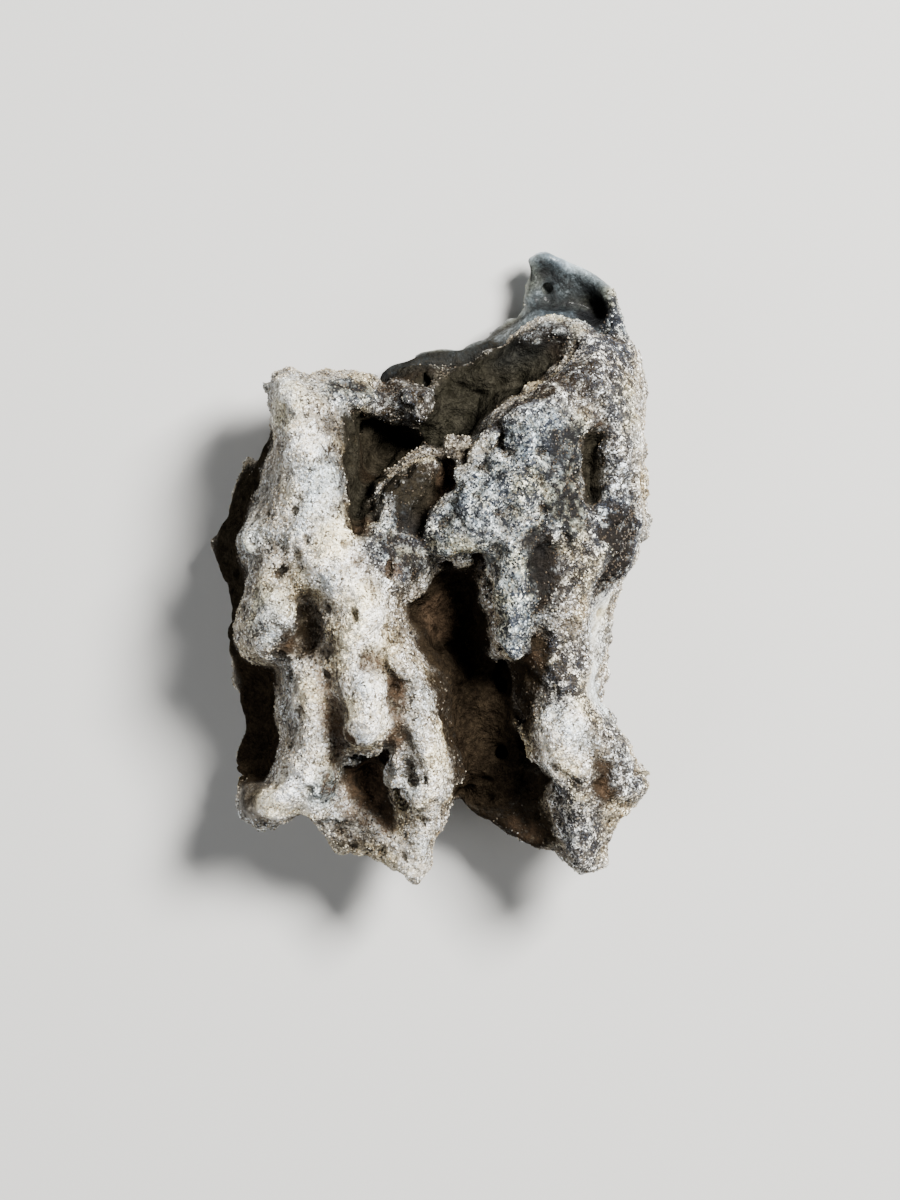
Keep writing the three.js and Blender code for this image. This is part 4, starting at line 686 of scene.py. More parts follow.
places = of_each_vertex("co").astype(float) / MM - shift
occupied = (melt.depth < 0).astype(np.float32)
deep = sampled(softened(occupied, 4.0), places)
fine = sampled(softened(occupied, 1.0), places)
upward = np.clip(0.6 + 1.6 * of_each_vertex("normal")[:, 2], 0.12, 1)

# The stains and tones that the crust took on, as places (x, y, z, radius) with how strong each is.
# The stains are dirt and painted shade both, laid darkest in the hollows that lie in shadow.
# The wing's dirt and painted shade lie on what faces up.
STAINS_AND_SHADE = (
    (0.85, [(-8.2, 13.4, 19, 1), (-7.9, 9, 19.8, 1), (-7.4, 5, 20.6, 1), (-7.1, 3.4, 21.6, 0.8)]),
    (0.4, [(-9.5, 12.8, 20.9, 1.2), (-9.1, 9.5, 22, 1.1), (-8.6, 5.6, 23, 0.8)]),
    (0.85, [(-7.4, 13, 15.6, 2), (-7, 9, 16, 2), (-6.6, 6.4, 17, 1.6)]), (0.7, [(-3.2, 12.6, 9.4, 2)]),
    (0.95, [(-4.4, 12, 11, 3.2)]), (0.6, [(-6.9, 3.4, 21, 0.7)]),
    (0.45, [(-3, 16.6, 15, 1.8), (0, 15.4, 15.5, 1.8)]),
    (0.8, [(-4, 19.6, 10, 1.6), (0, 20.2, 9, 2.2), (5, 21.4, 9, 2)]),
    (0.88, [(-4, 19, 11, 1.6), (-1.6, 18.8, 12, 1.8)]),
    (0.93, [(2, 15, 13, 3), (5, 17, 13, 3), (9, 20, 13, 2.2), (11.5, 21.4, 14, 1)]),
    (0.6, [(1, 18.2, 14, 1.4), (5, 20, 13.4, 0.8)]),
    (0.42, [(7, 21.4, 14.6, 1.4), (9, 22.6, 15.4, 1.6), (12.4, 23.6, 16.4, 1.6)]),
    (0.6, [(4, 18.8, 13.4, 0.8), (9, 21.7, 14.2, 0.8), (12.4, 22.9, 15.4, 0.7)]),
    (0.55, [(11.4, 29, 7, 1.4), (12.4, 27, 7.4, 2.2), (15, 26.4, 7.6, 2.4)]),
    (0.97, [(16.6, 25.4, 7.4, 1.4)]), (0.85, [(16.2, 13.6, 20, 0.9), (16.2, 7, 20, 0.8)]),
    (0.78, [(-3.4, 8, 21.4, 1.2), (-1.2, 7.4, 20.6, 2), (-2, 5.4, 21.4, 1.6)]),
    (0.6, [(-0.8, 4.4, 20.6, 1.4)]), (0.88, [(3, 10.6, 18, 1.3), (2, 8, 18.8, 1.4), (0.8, 5.4, 19.8, 1)]),
    (0.92, [(1, -4, 15, 3.6), (3, -6, 14, 3.5), (1, -9, 15, 3)]),
    (0.95, [(4.5, -12.6, 14, 3.4), (5, -17, 13.5, 3.6), (5.5, -21, 13, 3.6)]),
    (0.97, [(7.5, -11, 12.5, 1.3)]), (0.92, [(10.4, 1.4, 23.4, 0.6), (10.5, -1.8, 23.2, 0.6)]),
    (0.66, [(10.6, 2, 23.8, 1.2), (10.8, -2.4, 23.6, 1.2)]),
    (0.7, [(18.6, 3, 20.6, 2.4), (18, -1, 19.6, 1.8)]), (0.8, [(10.3, -8.4, 21, 1), (10, -12, 18, 1.6)]),
    (0.78, [(7, -24, 11.5, 2.6), (10, -25.8, 12, 2.4)]),
    (0.7, [(10, -20.6, 13, 1.8), (11.6, -22, 12.6, 1.4)]),
    (0.72, [(-6.4, -20, 14.4, 2), (-6, -22, 14, 2), (-4.2, -25, 14.4, 0.6)]),
    (0.55, [(-8.6, 18.3, 18.4, 0.6), (-6.6, 18.2, 17.6, 0.8)]),
    (0.5, [(13.8, 12, 24.8, 1.5), (13.8, 5.6, 25, 1.5)]),
    (0.5, [(-3.4, 1.6, 23.4, 1), (-1.6, -0.4, 22.6, 1)]),
    (0.5, [(7.4, 14.6, 22.8, 1), (10.4, 16.8, 23.2, 1.1), (14.4, 19.4, 22.2, 1)]),
    (0.5, [(-12.4, -5.4, 20.6, 0.6), (-12.2, -8.4, 20, 0.7)]),
    (0.75, [(-14, -7.2, 21, 0.2), (-14.3, -8.4, 20.4, 0.3)]),
    (0.3, [(-9.6, -15.6, 21, 0.5), (-9.2, -17.6, 20.4, 0.6)]),
    (0.5, [(-3.4, -12, 23.2, 0.4), (-3.2, -17, 22, 0.5)]), (0.35, [(-5.9, -9.6, 25, 0.6)]),
    (0.75, [(1.2, -11.6, 19.8, 0.9), (1.5, -16, 19, 0.9), (2.6, -20, 18, 0.9)]),
    (0.8, [(2.2, -11.6, 17.5, 1.1), (2.5, -16, 16.8, 1.1), (3.2, -20, 16, 1)]),
    (0.7, [(8.8, -9.6, 17, 0.7), (9, -13, 17.2, 0.7), (9.7, -15.4, 18, 0.7)]),
    (0.8, [(-7.5, -17, 23.8, 0.3)]), (0.6, [(16.9, -20, 19.2, 0.7)]),
    (0.85, [(16.9, -19.6, 19, 0.4), (17, -22.6, 18.8, 0.4)]), (0.5, [(-18.6, -22.8, 15, 1.2)]),
    (0.4, [(-8, -27, 14.8, 1.6)]), (0.6, [(1, 19.6, 11, 1.2)]),
    (0.45, [(3, 21.2, 8, 1.4), (7, 22.8, 7.8, 1.6), (9.4, 24.2, 7.6, 1.4)]), (0.7, [(3, 0.4, 17.6, 1.4)]),
    (0.5, [(15, -24, 16.5, 1)]), (0.45, [(18, 25.6, 10, 0.6), (18, 22.6, 13.6, 0.8)]),
    (0.45, [(2.8, 11.6, 21.4, 0.8)]), (0.62, [(-10.4, -22, 18.8, 0.9)]),
    (0.6, [(16.6, -19.4, 19.2, 0.5)]), (0.35, [(8, 23.2, 14, 0.5), (12.4, 24.2, 15.4, 0.5)]),
)
# The wing's ledges: dirt and painted shade, laid on what faces up.
LEDGE_DIRT_AND_SHADE = (
    (1, [(-17.6, 11, 11, 1.6), (-19.8, 5, 10.6, 2.6), (-20.2, 0, 10.2, 2.6), (-19.4, -6, 10, 2.4)]),
    (1, [(-17.4, -11, 10.4, 2.2), (-17.4, -17, 10.4, 2.2), (-17.6, -19.2, 10.6, 2.2)]),
)
# The pale parts: the cream of the worn ridges, and painted light on faces turned to the lamp at the right, on
# the right wall, the pillar's edge, the finger's rim and the tops of the left feet.
PALE = (
    (0.7, [(-14.6, 16, 20, 2)]),
    (1.5, [(-12.6, 11, 22.6, 2), (-12.4, 7, 23.8, 2.2), (-11, 2, 25, 2.4), (-9, -3, 26, 2)]),
    (0.3, [(-11, 17.6, 20, 1.2)]), (2, [(-6.4, -4, 26.4, 1.8), (-6.6, -9, 26, 1.3)]),
    (1.3, [(-6.2, -12.4, 27, 2.2), (-5.8, -16.4, 27, 2)]),
    (2.6, [(-14.6, -23.4, 18.8, 1.8), (-12.6, -22.6, 19.6, 1.8)]),
    (0.6, [(-12.4, -11, 22, 1.6), (-12, -19, 21, 1.8)]),
    (0.1, [(-2.2, -11, 24, 1.2), (-1, -16, 24, 1.2)]),
    (0.8, [(-0.6, -18.4, 23.4, 1.3), (0.4, -22, 22, 1.6)]), (0.6, [(-0.4, -27, 19, 1.6)]),
    (1.3, [(13, -15.4, 23, 2), (12.6, -18.6, 22.6, 1.8)]),
    (2.6, [(17.6, -4.6, 17, 1.8), (16.8, -12, 17, 1.7)]),
    (0.45, [(19.4, -20, 19, 1.2), (20.6, -21.4, 18, 0.8)]),
    (0.6, [(20.4, 16, 18.6, 0.8), (20.6, 9, 18.8, 0.8)]),
    (0.6, [(-16.2, -5.4, 22, 1.4), (-16, -2, 22, 1.2)]), (0.3, [(15, -26, 19, 1), (15.4, -28.6, 17, 1)]),
    (0.5, [(-9, -25.6, 15.6, 1.4), (-3, -29.6, 15.6, 1.2)]), (0.6, [(-17.4, 3, 19.6, 1.4)]),
    (0.35, [(4, 3, 25.6, 1.6), (7, 6, 26.2, 2)]), (0.25, [(2.6, 9.6, 24, 0.8), (4.6, 11, 23, 1)]),
    (0.4, [(18.8, 26.6, 9.4, 0.3), (19.8, 23, 12.6, 0.3)]), (0.6, [(-18.2, 2.6, 19.2, 0.8)]),
    (0.25, [(10.4, 23.6, 15.8, 0.8), (14, 23.4, 16.6, 0.7)]),
)
CHARRED = (
    (1.2, [(16, 19, 21, 2), (12, 17.6, 23, 1.2)]),
    (1.3, [(14, 18.8, 22.6, 1), (10, 16, 24, 1), (7.4, 14, 23.4, 0.8)]),
    (1, [(13.6, 11, 25, 2.4), (14, 5, 25, 2.6), (13, 0, 24, 2.2)]),
    (2.1, [(18.2, 25.6, 10, 0.9), (18.4, 22.4, 14, 1.2), (17.8, 20.6, 18.6, 1.4)]),
    (0.9, [(18, 17, 21, 1.6), (18.8, 6, 21, 1.6)]), (1, [(14.4, 20.6, 21, 1.4), (16.4, 22, 18.6, 1.4)]),
    (0.6, [(8, 22.6, 15, 0.8), (12, 24, 16.4, 0.9)]), (2.2, [(18.4, 3, 20.6, 2.6), (18, -1, 19.4, 2)]),
    (0.7, [(8.6, -1, 26, 1.8), (9, -8, 25, 1.8)]),
    (1.4, [(11.8, -8.6, 21, 1.6), (13.2, -11.4, 21.6, 1.2)]), (0.6, [(-8, 18, 19, 1), (-5.5, 18, 18, 1)]),
    (0.9, [(-3, 17, 16, 2), (0, 15, 15, 2)]), (0.8, [(16, -15, 19, 1.5), (18, -17.5, 18, 1)]),
    (1.2, [(14, -23, 19, 1.2), (15, -28, 16, 1)]), (1.1, [(-3, 1, 24, 2), (-1, 3.5, 22, 2)]),
    (0.8, [(-3.6, 8, 21.6, 1.6), (-1, 7, 20.8, 2)]), (0.5, [(-16, -5, 21, 1)]),
    (0.8, [(8, 9, 26, 3), (5, 5, 25, 2)]), (0.8, [(19, -20, 19, 1), (21, -21.6, 17.6, 1)]),
    (0.5, [(17.6, -8, 16, 1)]),
)
BLUISH = (
    (0.9, [(4, 3, 24, 3), (8, 7, 25, 4), (11, 12, 24, 3)]),
    (0.85, [(13.8, 12, 24.8, 1.8), (13.8, 5.6, 25, 1.8)]), (1, [(8.4, 0, 26, 1.2), (8.4, -7, 25, 1.6)]),
    (0.6, [(10.6, 1.6, 23.4, 0.9), (10.6, -2, 23.2, 0.9)]), (0.8, [(-9, 18, 19, 1.2), (-5, 18, 18, 1)]),
    (1, [(12, 28, 7, 4), (15, 24, 8, 4)]), (0.6, [(-3, 2, 22, 2.4)]), (1.3, [(-10.4, -22, 18.8, 1)]),
    (0.6, [(18.2, 3, 20.6, 2.6), (17.8, -1, 19.6, 2)]), (0.5, [(2, 20, 8, 3), (-3, 19, 9, 2.4)]),
    (0.4, [(17, -5, 16, 1.6), (16.6, -12, 16, 1.4)]), (0.4, [(-15, 16, 20, 2)]),
    (0.8, [(-18.2, 2.6, 19.2, 0.8)]), (0.5, [(-11, 6, 24.4, 1), (-10.4, 9, 23.6, 1)]),
    (0.4, [(19.5, 15, 20, 2)]), (0.5, [(-16, -5, 21, 1.4)]), (0.4, [(11.4, 25, 8, 2)]),
    (0.5, [(8, 22, 15, 1.4), (13, 23.6, 16.4, 1.4)]),
)
RUSTY = (
    (1, [(2, 8.6, 19, 0.8), (2, 6, 19.5, 0.8)]), (0.75, [(-9.9, -11, 21.6, 0.9), (-9.4, -16, 21, 1.1)]),
    (0.7, [(-9.9, -18.6, 20, 0.9), (-9.8, -21.6, 19, 1)]),
    (0.75, [(16.8, -19.8, 19, 0.6), (17, -22.4, 18.8, 0.5)]), (0.6, [(10.3, -9, 20.6, 0.6)]),
    (0.6, [(16.3, 14.6, 21, 0.7)]), (0.8, [(-7.2, 0.2, 24.8, 0.5)]), (0.7, [(-4, -0.6, 24, 0.6)]),
    (0.4, [(-14.1, -7.8, 20.6, 0.5)]), (0.7, [(8.4, -26, 11.4, 0.4), (10.5, -27, 12.4, 0.4)]),
    (0.8, [(-7.5, -17, 24, 0.5)]), (0.7, [(-3.6, -11.6, 23.6, 0.7), (-3.5, -17.4, 22.4, 0.8)]),
    (0.8, [(-5.9, -9.6, 24.4, 0.7)]), (0.5, [(-8.6, -23, 15.4, 1.4), (-4, -26, 15, 0.8)]),
    (0.7, [(-6.6, -20, 14, 2), (-6.4, -22.6, 13.4, 2)]), (0.8, [(-5, 18.4, 12, 0.7)]),
    (0.5, [(-6.4, 3.4, 21.4, 0.8)]), (0.5, [(1, -5, 15, 2)]),
)
OLIVE = (
    (1, [(0, 15, 13, 3), (5, 16, 13, 4), (9, 19, 13, 3)]),
    (0.8, [(16.2, 13.6, 20, 1.2), (16.2, 7, 20, 1.2)]),
    (0.4, [(-17, 11, 10, 2), (-20, 3, 10, 3), (-19.6, -6, 9, 2.4)]),
    (0.7, [(-4, 19.6, 10, 2), (6, 22, 8, 2)]), (0.9, [(-8, 13, 18, 2.6), (-7.4, 6, 19, 2.4)]),
    (0.6, [(-4.4, 12, 11, 3)]), (0.6, [(-2.4, 7.6, 21, 2)]),
)
PLAIN = (
    (0.8, [(4.5, -13, 14, 3), (5, -17, 13.5, 3.2), (5.5, -21, 13, 3.4)]),
    (0.35, [(5, 16, 13, 3.5), (9, 19, 13, 2)]), (0.5, [(-15.4, 17, 19, 1.5)]),
    (0.5, [(-16.4, 12, 18, 1.2), (-17, 6, 18, 1.2)]), (0.5, [(-13.6, -13, 20.6, 1)]),
    (0.9, [(-18.4, -23.4, 15, 1.8)]), (0.4, [(-1.5, -30, 16, 1.6)]),
    (0.7, [(-20, 4, 9.6, 2.4), (-20, -2, 9.4, 2.4), (-17.8, -14, 10, 2.8)]),
    (1, [(17.5, -4.8, 17, 1.4), (16.9, -12, 17, 1.4)]),
)


def marked(*spots, fade):
    """How strongly each vertex takes on a tone: the strongest of the spots that it is in or near."""
    return np.max([strength * patch(places, chain, fade=fade) for strength, chain in spots], axis=0)


# What the materials read of each vertex: where it is hollow, proud or in a fine crease, and its tones.
# The colours put painted shade in the hollows and creases and painted light on the crests, from the first
# three.
for name, values in (
    ("cave", np.clip((deep - 0.5) * 2.6, 0, 1)),
    ("crest", np.clip((0.5 - deep) * 2.6, 0, 1)),
    ("crease", np.clip((fine - 0.5) * 4 + 0.5, 0, 1)),
    ("glassy", patch(places, *GLASSY, fade=GLASSY_FADE)),
    ("stain_and_shade", np.maximum(marked(*STAINS_AND_SHADE, fade=1.6), marked(*LEDGE_DIRT_AND_SHADE, fade=2.8) * upward)),
    ("pale", marked(*PALE, fade=2.4)),
    ("charred", marked(*CHARRED, fade=2.6)),
    ("bluish", marked(*BLUISH, fade=2.6)),
    ("rusty", marked(*RUSTY, fade=1.0)),
    ("olive", marked(*OLIVE, fade=2.0)),
    ("plain", marked(*PLAIN, fade=1.5)),
):
    thinned.attributes.new(name, "FLOAT", "POINT").data.foreach_set("value", values.astype(np.float32))


def add_node(tree, kind, settings=None, inputs=None, out=0):
    """Adds a node with its settings and the values or links of its sockets, and gives one output."""
    made = tree.nodes.new(kind)
    for key, value in (settings or {}).items():
        setattr(made, key, value)
    for key, value in (inputs or {}).items():
        if isinstance(value, bpy.types.NodeSocket):
            tree.links.new(value, made.inputs[key])
        else:
            made.inputs[key].default_value = value
    return made.outputs[out]


class Wire:
    """One value that changes over a surface, wrapped so that sums on it can be written as sums."""

    def __init__(self, skin, socket):
        self.skin = skin
        self.socket = socket

    def __add__(self, other):
        return self.skin.sum("ADD", self, other)

    def __radd__(self, other):
        return self.skin.sum("ADD", other, self)

    def __sub__(self, other):
        return self.skin.sum("SUBTRACT", self, other)

    def __rsub__(self, other):
        return self.skin.sum("SUBTRACT", other, self)

    def __mul__(self, other):
        return self.skin.sum("MULTIPLY", self, other)

    def __rmul__(self, other):
        return self.skin.sum("MULTIPLY", other, self)


class Skin:
    """A material, and the nodes that work out how it changes from place to place."""

    def __init__(self, name):
        self.material = bpy.data.materials.new(name)
        self.material.use_nodes = True
        self.tree = self.material.node_tree
        self.shader = self.tree.nodes["Principled BSDF"]
        self.at = self.stretch(self.node("ShaderNodeTexCoord", out="Object"), 1 / MM)

    def node(self, kind, settings=None, inputs=None, out=0):
        values = (inputs or {}).items()
        inputs = {key: value.socket if isinstance(value, Wire) else value for key, value in values}
        return Wire(self, add_node(self.tree, kind, settings, inputs, out))

    def feed(self, name, value):
        """Leads a value to one of the shader's own sockets."""
        self.tree.links.new(value.socket, self.shader.inputs[name])

    def sum(self, operation, a, b):
        return self.node("ShaderNodeMath", {"operation": operation}, {0: a, 1: b})

    def stretch(self, vector, by):
        return self.node("ShaderNodeVectorMath", {"operation": "SCALE"}, {0: vector, "Scale": by})

    def vectors(self, operation, a, b, out=0):
        return self.node("ShaderNodeVectorMath", {"operation": operation}, {0: a, 1: b}, out)

    def clamp(self, value):
        return self.node("ShaderNodeClamp", inputs={"Value": value})

    def step(self, value, low, high):
        """0 below low, 1 above high, smooth between."""
        return self.node("ShaderNodeMapRange", {"interpolation_type": "SMOOTHSTEP"},
                         {"Value": value, "From Min": low, "From Max": high})

    def mix(self, share, a, b):
        return self.node("ShaderNodeMix", {"data_type": "RGBA"}, {0: share, 6: a, 7: b}, 2)

    def shade(self, colour, by):
        """The colour, darkened or tinted by another."""
        return self.node("ShaderNodeMix", {"data_type": "RGBA", "blend_type": "MULTIPLY"},
                         {0: 1.0, 6: colour, 7: by}, 2)

    def cast(self, colour, rusty, even, warm_tint):
        """Makes broad patches of a colour bluer, and others creamier."""
        patches = self.noise(5.2)
        cool = self.step(patches, 0.50, 0.66) * (1 - 0.5 * rusty)
        warm = 1 - self.step(patches, 0.36, 0.50)
        colour = self.shade(colour, self.mix(cool, even, COOL_TINT))
        return self.shade(colour, self.mix(warm, grey(1), warm_tint))

    def noise(self, wave, detail=2.0, rough=0.5, out=0):
        """Soft noise with lumps about one wave across, from 0 to 1."""
        return self.node("ShaderNodeTexNoise", inputs={"Vector": self.at, "Scale": 1 / wave, "Detail": detail,
                                                       "Roughness": rough}, out=out)

    def grains(self, size, at):
        """Sand grains of a size, as the voronoi cells round their middles: each one's colour and middle."""
        cells = self.node("ShaderNodeTexVoronoi", inputs={"Vector": at, "Scale": 1 / size}).socket.node
        return Wire(self, cells.outputs["Color"]), Wire(self, cells.outputs["Position"])

    def facet(self, at, colour, middle):
        """The height of each grain's face, which is tilted its own way."""
        offset = self.vectors("SUBTRACT", at, middle)
        tilt = self.vectors("SUBTRACT", colour, (0.5, 0.5, 0.5))
        return self.vectors("DOT_PRODUCT", offset, tilt, "Value")

    def parts(self, colour):
        """A colour's red, green and blue."""
        split = self.node("ShaderNodeSeparateColor", inputs={"Color": colour}).socket.node
        return [Wire(self, split.outputs[i]) for i in range(3)]

    def marks(self, *names):
        """The values kept for each vertex, by name."""
        return [self.node("ShaderNodeAttribute", {"attribute_name": name}, out="Fac") for name in names]

    def bump(self, height):
        """A bump whose heights are in millimetres."""
        return self.node("ShaderNodeBump", inputs={"Strength": 1.0, "Distance": MM, "Height": height},
                         out="Normal")


def grey(level):
    return (level, level, level, 1)


# The crust's colours. The tints multiply a colour.
BURIED_GROUND = (0.19, 0.165, 0.13, 1)
WORN_AND_LIT_CREAM = (0.78, 0.735, 0.62, 1)
CHAR_TINT = (0.72, 0.80, 0.88, 1)
BLUISH_GROUND = (0.26, 0.32, 0.37, 1)
CHAR = (0.045, 0.048, 0.058, 1)
TAN_GRAIN = (0.23, 0.19, 0.14, 1)
WHITE_GRAIN = (0.95, 0.95, 0.93, 1)
BROWN_SMOKE = (0.022, 0.018, 0.014, 1)
BLUE_SMOKE = (0.016, 0.02, 0.03, 1)
WORN_AND_LIT_SMOKE = (0.20, 0.175, 0.135, 1)
DEEP_GLASS = (0.095, 0.115, 0.125, 1)
MILKY_GLASS = (0.30, 0.34, 0.36, 1)
PALE_GLASS = (0.62, 0.64, 0.63, 1)
COOL_TINT = (0.84, 0.91, 1.0, 1)
CREAM_TINT = (1.04, 0.97, 0.78, 1)
MOTTLE_TINT = (0.76, 0.745, 0.72, 1)
BLUE_TINT = (0.82, 0.95, 1.0, 1)
CREASE_SHADE = (0.42, 0.38, 0.32, 1)
RUST = (0.24, 0.165, 0.11, 1)
DARK_DIRT_AND_SHADE = (0.009, 0.0064, 0.004, 1)
BROWN_DIRT_AND_SHADE = (0.017, 0.0122, 0.0074, 1)
DARK_OLIVE_DIRT_AND_SHADE = (0.009, 0.0086, 0.0058, 1)
OLIVE_DIRT_AND_SHADE = (0.020, 0.0188, 0.0138, 1)
BLUE_DIRT_AND_SHADE = (0.009, 0.0105, 0.012, 1)
RUSTY_DIRT_AND_SHADE = (0.07, 0.045, 0.028, 1)

# The crust: clear, white and smoky sand grains half sunk in fused glass, cream on the worn ridges, where
# painted light lies too, charred and bluish on the boss, with brown dirt and painted shade in the hollows.
sand = Skin("fused_sand_crust")
cave, crest, crease, glassy, stain_and_shade, pale, charred, bluish, rusty, olive, plain = sand.marks(
    "cave", "crest", "crease", "glassy", "stain_and_shade", "pale", "charred", "bluish", "rusty", "olive", "plain")
quiet = sand.clamp(plain + glassy)

wobble = sand.vectors("SUBTRACT", sand.noise(0.4, 1.0, out=1), (0.5, 0.5, 0.5))
loose = sand.vectors("ADD", sand.at, sand.stretch(wobble, 0.3))
coarse_colour, coarse_middle = sand.grains(0.34, loose)
small_colour, small_middle = sand.grains(0.19, loose)
coarse_red, coarse_green, coarse_blue = sand.parts(coarse_colour)
small_red, small_green, small_blue = sand.parts(small_colour)
dust = sand.noise(0.14, 1.0)
clump = sand.noise(1.1, 3.0, 0.6)
drift = sand.noise(3.4)
blotch = sand.noise(1.1, 2.0, 0.6)
mottle = sand.noise(0.5, 2.0, 0.65)

# The fused ground that the grains sit in: cream where it is worn and on the crests, where the cream is
# painted light as well as wear, grey-blue and charred on the boss.
worn_and_lit = sand.clamp(pale * (0.4 + 0.9 * crest) + crest * 0.25 - charred * 0.3 + (drift - 0.5))
ground = sand.mix(worn_and_lit, BURIED_GROUND, WORN_AND_LIT_CREAM)
ground = sand.mix(charred * 0.7, ground, sand.shade(ground, CHAR_TINT))
ground = sand.mix(bluish * 0.6, ground, BLUISH_GROUND)
ground = sand.mix(charred * 0.85 * sand.step(clump, 0.36, 0.56), ground, CHAR)
tan = sand.step(coarse_blue + (clump - 0.5) * 1.2, 0.62, 0.72) * (1 - 0.6 * quiet) * (1 - 0.6 * charred)
ground = sand.mix(tan * 0.75, ground, TAN_GRAIN)

# White and clear quartz grains, then smoky ones. Where the crust is charred the smoky ones gather in
# blotches, with the white ones between them.
charred_blotch = charred * (blotch - 0.5) * 1.5
light_grain = coarse_red * 0.5 + small_red * 0.5
# The pale parts, cream wear and painted light both, show more white grains and fewer and paler smoky ones.
white_share = 0.64 - 0.14 * pale - 0.02 * charred + 0.5 * (0.5 - clump) + 0.12 * quiet + charred_blotch
white = sand.step(light_grain - white_share, -0.01, 0.05)
colour = sand.mix(white * (1 - 0.5 * quiet), ground, WHITE_GRAIN)
dark_grain = coarse_green * 0.45 + small_green * 0.55
dark_share = 0.325 - 0.06 * pale + 0.13 * charred + 0.5 * (clump - 0.5) - 0.1 * quiet + charred_blotch
dark = sand.step(dark_share - dark_grain, -0.02, 0.03)
smoke = sand.mix(bluish, BROWN_SMOKE, BLUE_SMOKE)
smoke = sand.mix(worn_and_lit * (1 - charred) * 0.5, smoke, WORN_AND_LIT_SMOKE)
colour = sand.mix(dark * (1 - 0.5 * quiet), colour, smoke)

# Where the melt ran smooth the glass shows, grey-blue and milky, and paler under the pale mark, which paints
# light on the finger's rim.
glass_tone = sand.mix(sand.step(drift, 0.38, 0.62), DEEP_GLASS, MILKY_GLASS)
glass_tone = sand.mix(pale, glass_tone, PALE_GLASS)
colour = sand.mix(glassy * 0.8, colour, glass_tone)

# Parts of the crust are creamier, bluer, rustier or duller than the rest. Its creases are darker with
# painted shade, and the fine ridges between them lighter with painted light.
colour = sand.cast(colour, rusty, grey(1.02), CREAM_TINT)
colour = sand.shade(colour, sand.mix(sand.step(mottle, 0.34, 0.64), MOTTLE_TINT, grey(1.27)))
colour = sand.mix(bluish * 0.5, colour, sand.shade(colour, BLUE_TINT))
rust = rusty * 0.8 * sand.step(clump, 0.3, 0.6)
colour = sand.mix(rust, colour, RUST)
colour = sand.shade(colour, sand.mix(crease, grey(1.25), CREASE_SHADE))
colour = sand.shade(colour, sand.mix(dust, grey(0.5), grey(1.5)))
sand.feed("Base Color", colour)
sand.feed("Roughness", sand.clamp(0.28 + 0.5 * small_blue + 0.05 * glassy))
sand.feed("Coat Weight", glassy * 0.25)
sand.shader.inputs["Coat Roughness"].default_value = 0.15

# Each grain is a low dome with a facet tilted its own way.
facet = sand.facet(loose, coarse_colour, coarse_middle)
fine_facet = sand.facet(loose, small_colour, small_middle)
height = facet * 1.2 + fine_facet * 1.5 + (clump - 0.5) * 0.45 + white * 0.05 - dark * 0.05
sand.feed("Normal", sand.bump(height * (1 - 0.85 * quiet)))

# Matte dirt and painted shade in what is hollow, brown, olive or bluish black, with bare grains showing
# through it.
clumped = sand.step(clump, 0.32, 0.68)
dirt_and_shade = sand.mix(clumped, DARK_DIRT_AND_SHADE, BROWN_DIRT_AND_SHADE)
dirt_and_shade = sand.mix(olive * 0.85, dirt_and_shade, sand.mix(clumped, DARK_OLIVE_DIRT_AND_SHADE, OLIVE_DIRT_AND_SHADE))
dirt_and_shade = sand.mix(bluish * 0.8, dirt_and_shade, BLUE_DIRT_AND_SHADE)
dirt_and_shade = sand.mix(rust, dirt_and_shade, RUSTY_DIRT_AND_SHADE)
dirt_and_shade = sand.shade(dirt_and_shade, sand.mix(sand.step(light_grain, 0.25, 0.8), grey(0.72), grey(1.45)))
packed = sand.bump((clump - 0.5) * 0.9 + (dust - 0.5) * 0.12 + facet * 0.35)
grime_and_shade = sand.node("ShaderNodeBsdfPrincipled", inputs={"Base Color": dirt_and_shade, "Roughness": 0.95, "Normal": packed,
                                                      "Specular IOR Level": 0.0}, out="BSDF")
hidden = sand.clamp(stain_and_shade + cave * 0.3 * (1 - 0.8 * pale))
broken = ((clump - 0.5) * 1.2 + (light_grain - 0.5)) * hidden * (1 - hidden) * 4
bare = sand.clamp(1 - hidden - broken * (1 - 0.6 * quiet))
covered = 1 - bare * bare * (0.4 + 0.6 * bare)
both = sand.node("ShaderNodeMixShader", inputs={0: covered, 1: sand.shader.outputs[0], 2: grime_and_shade})
sand.tree.links.new(both.socket, sand.tree.nodes["Material Output"].inputs["Surface"])

thinned.materials.append(sand.material)

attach(body, "root")
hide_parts("fulgurite")

# ---- The loose grains ---------------------------------------------------------------------------
# Single grains of quartz sand that the melt caught and held by one side: clear, cream and smoky.
# They stand out of the crust wherever it didn't run smooth.

FULL_TURN = (6.28, 6.28, 6.28)
THINNEST = (0.55, 0.6, 0.5)               # a stone's sides, as shares of its size
THICKEST = (1.35, 1.25, 1.1)


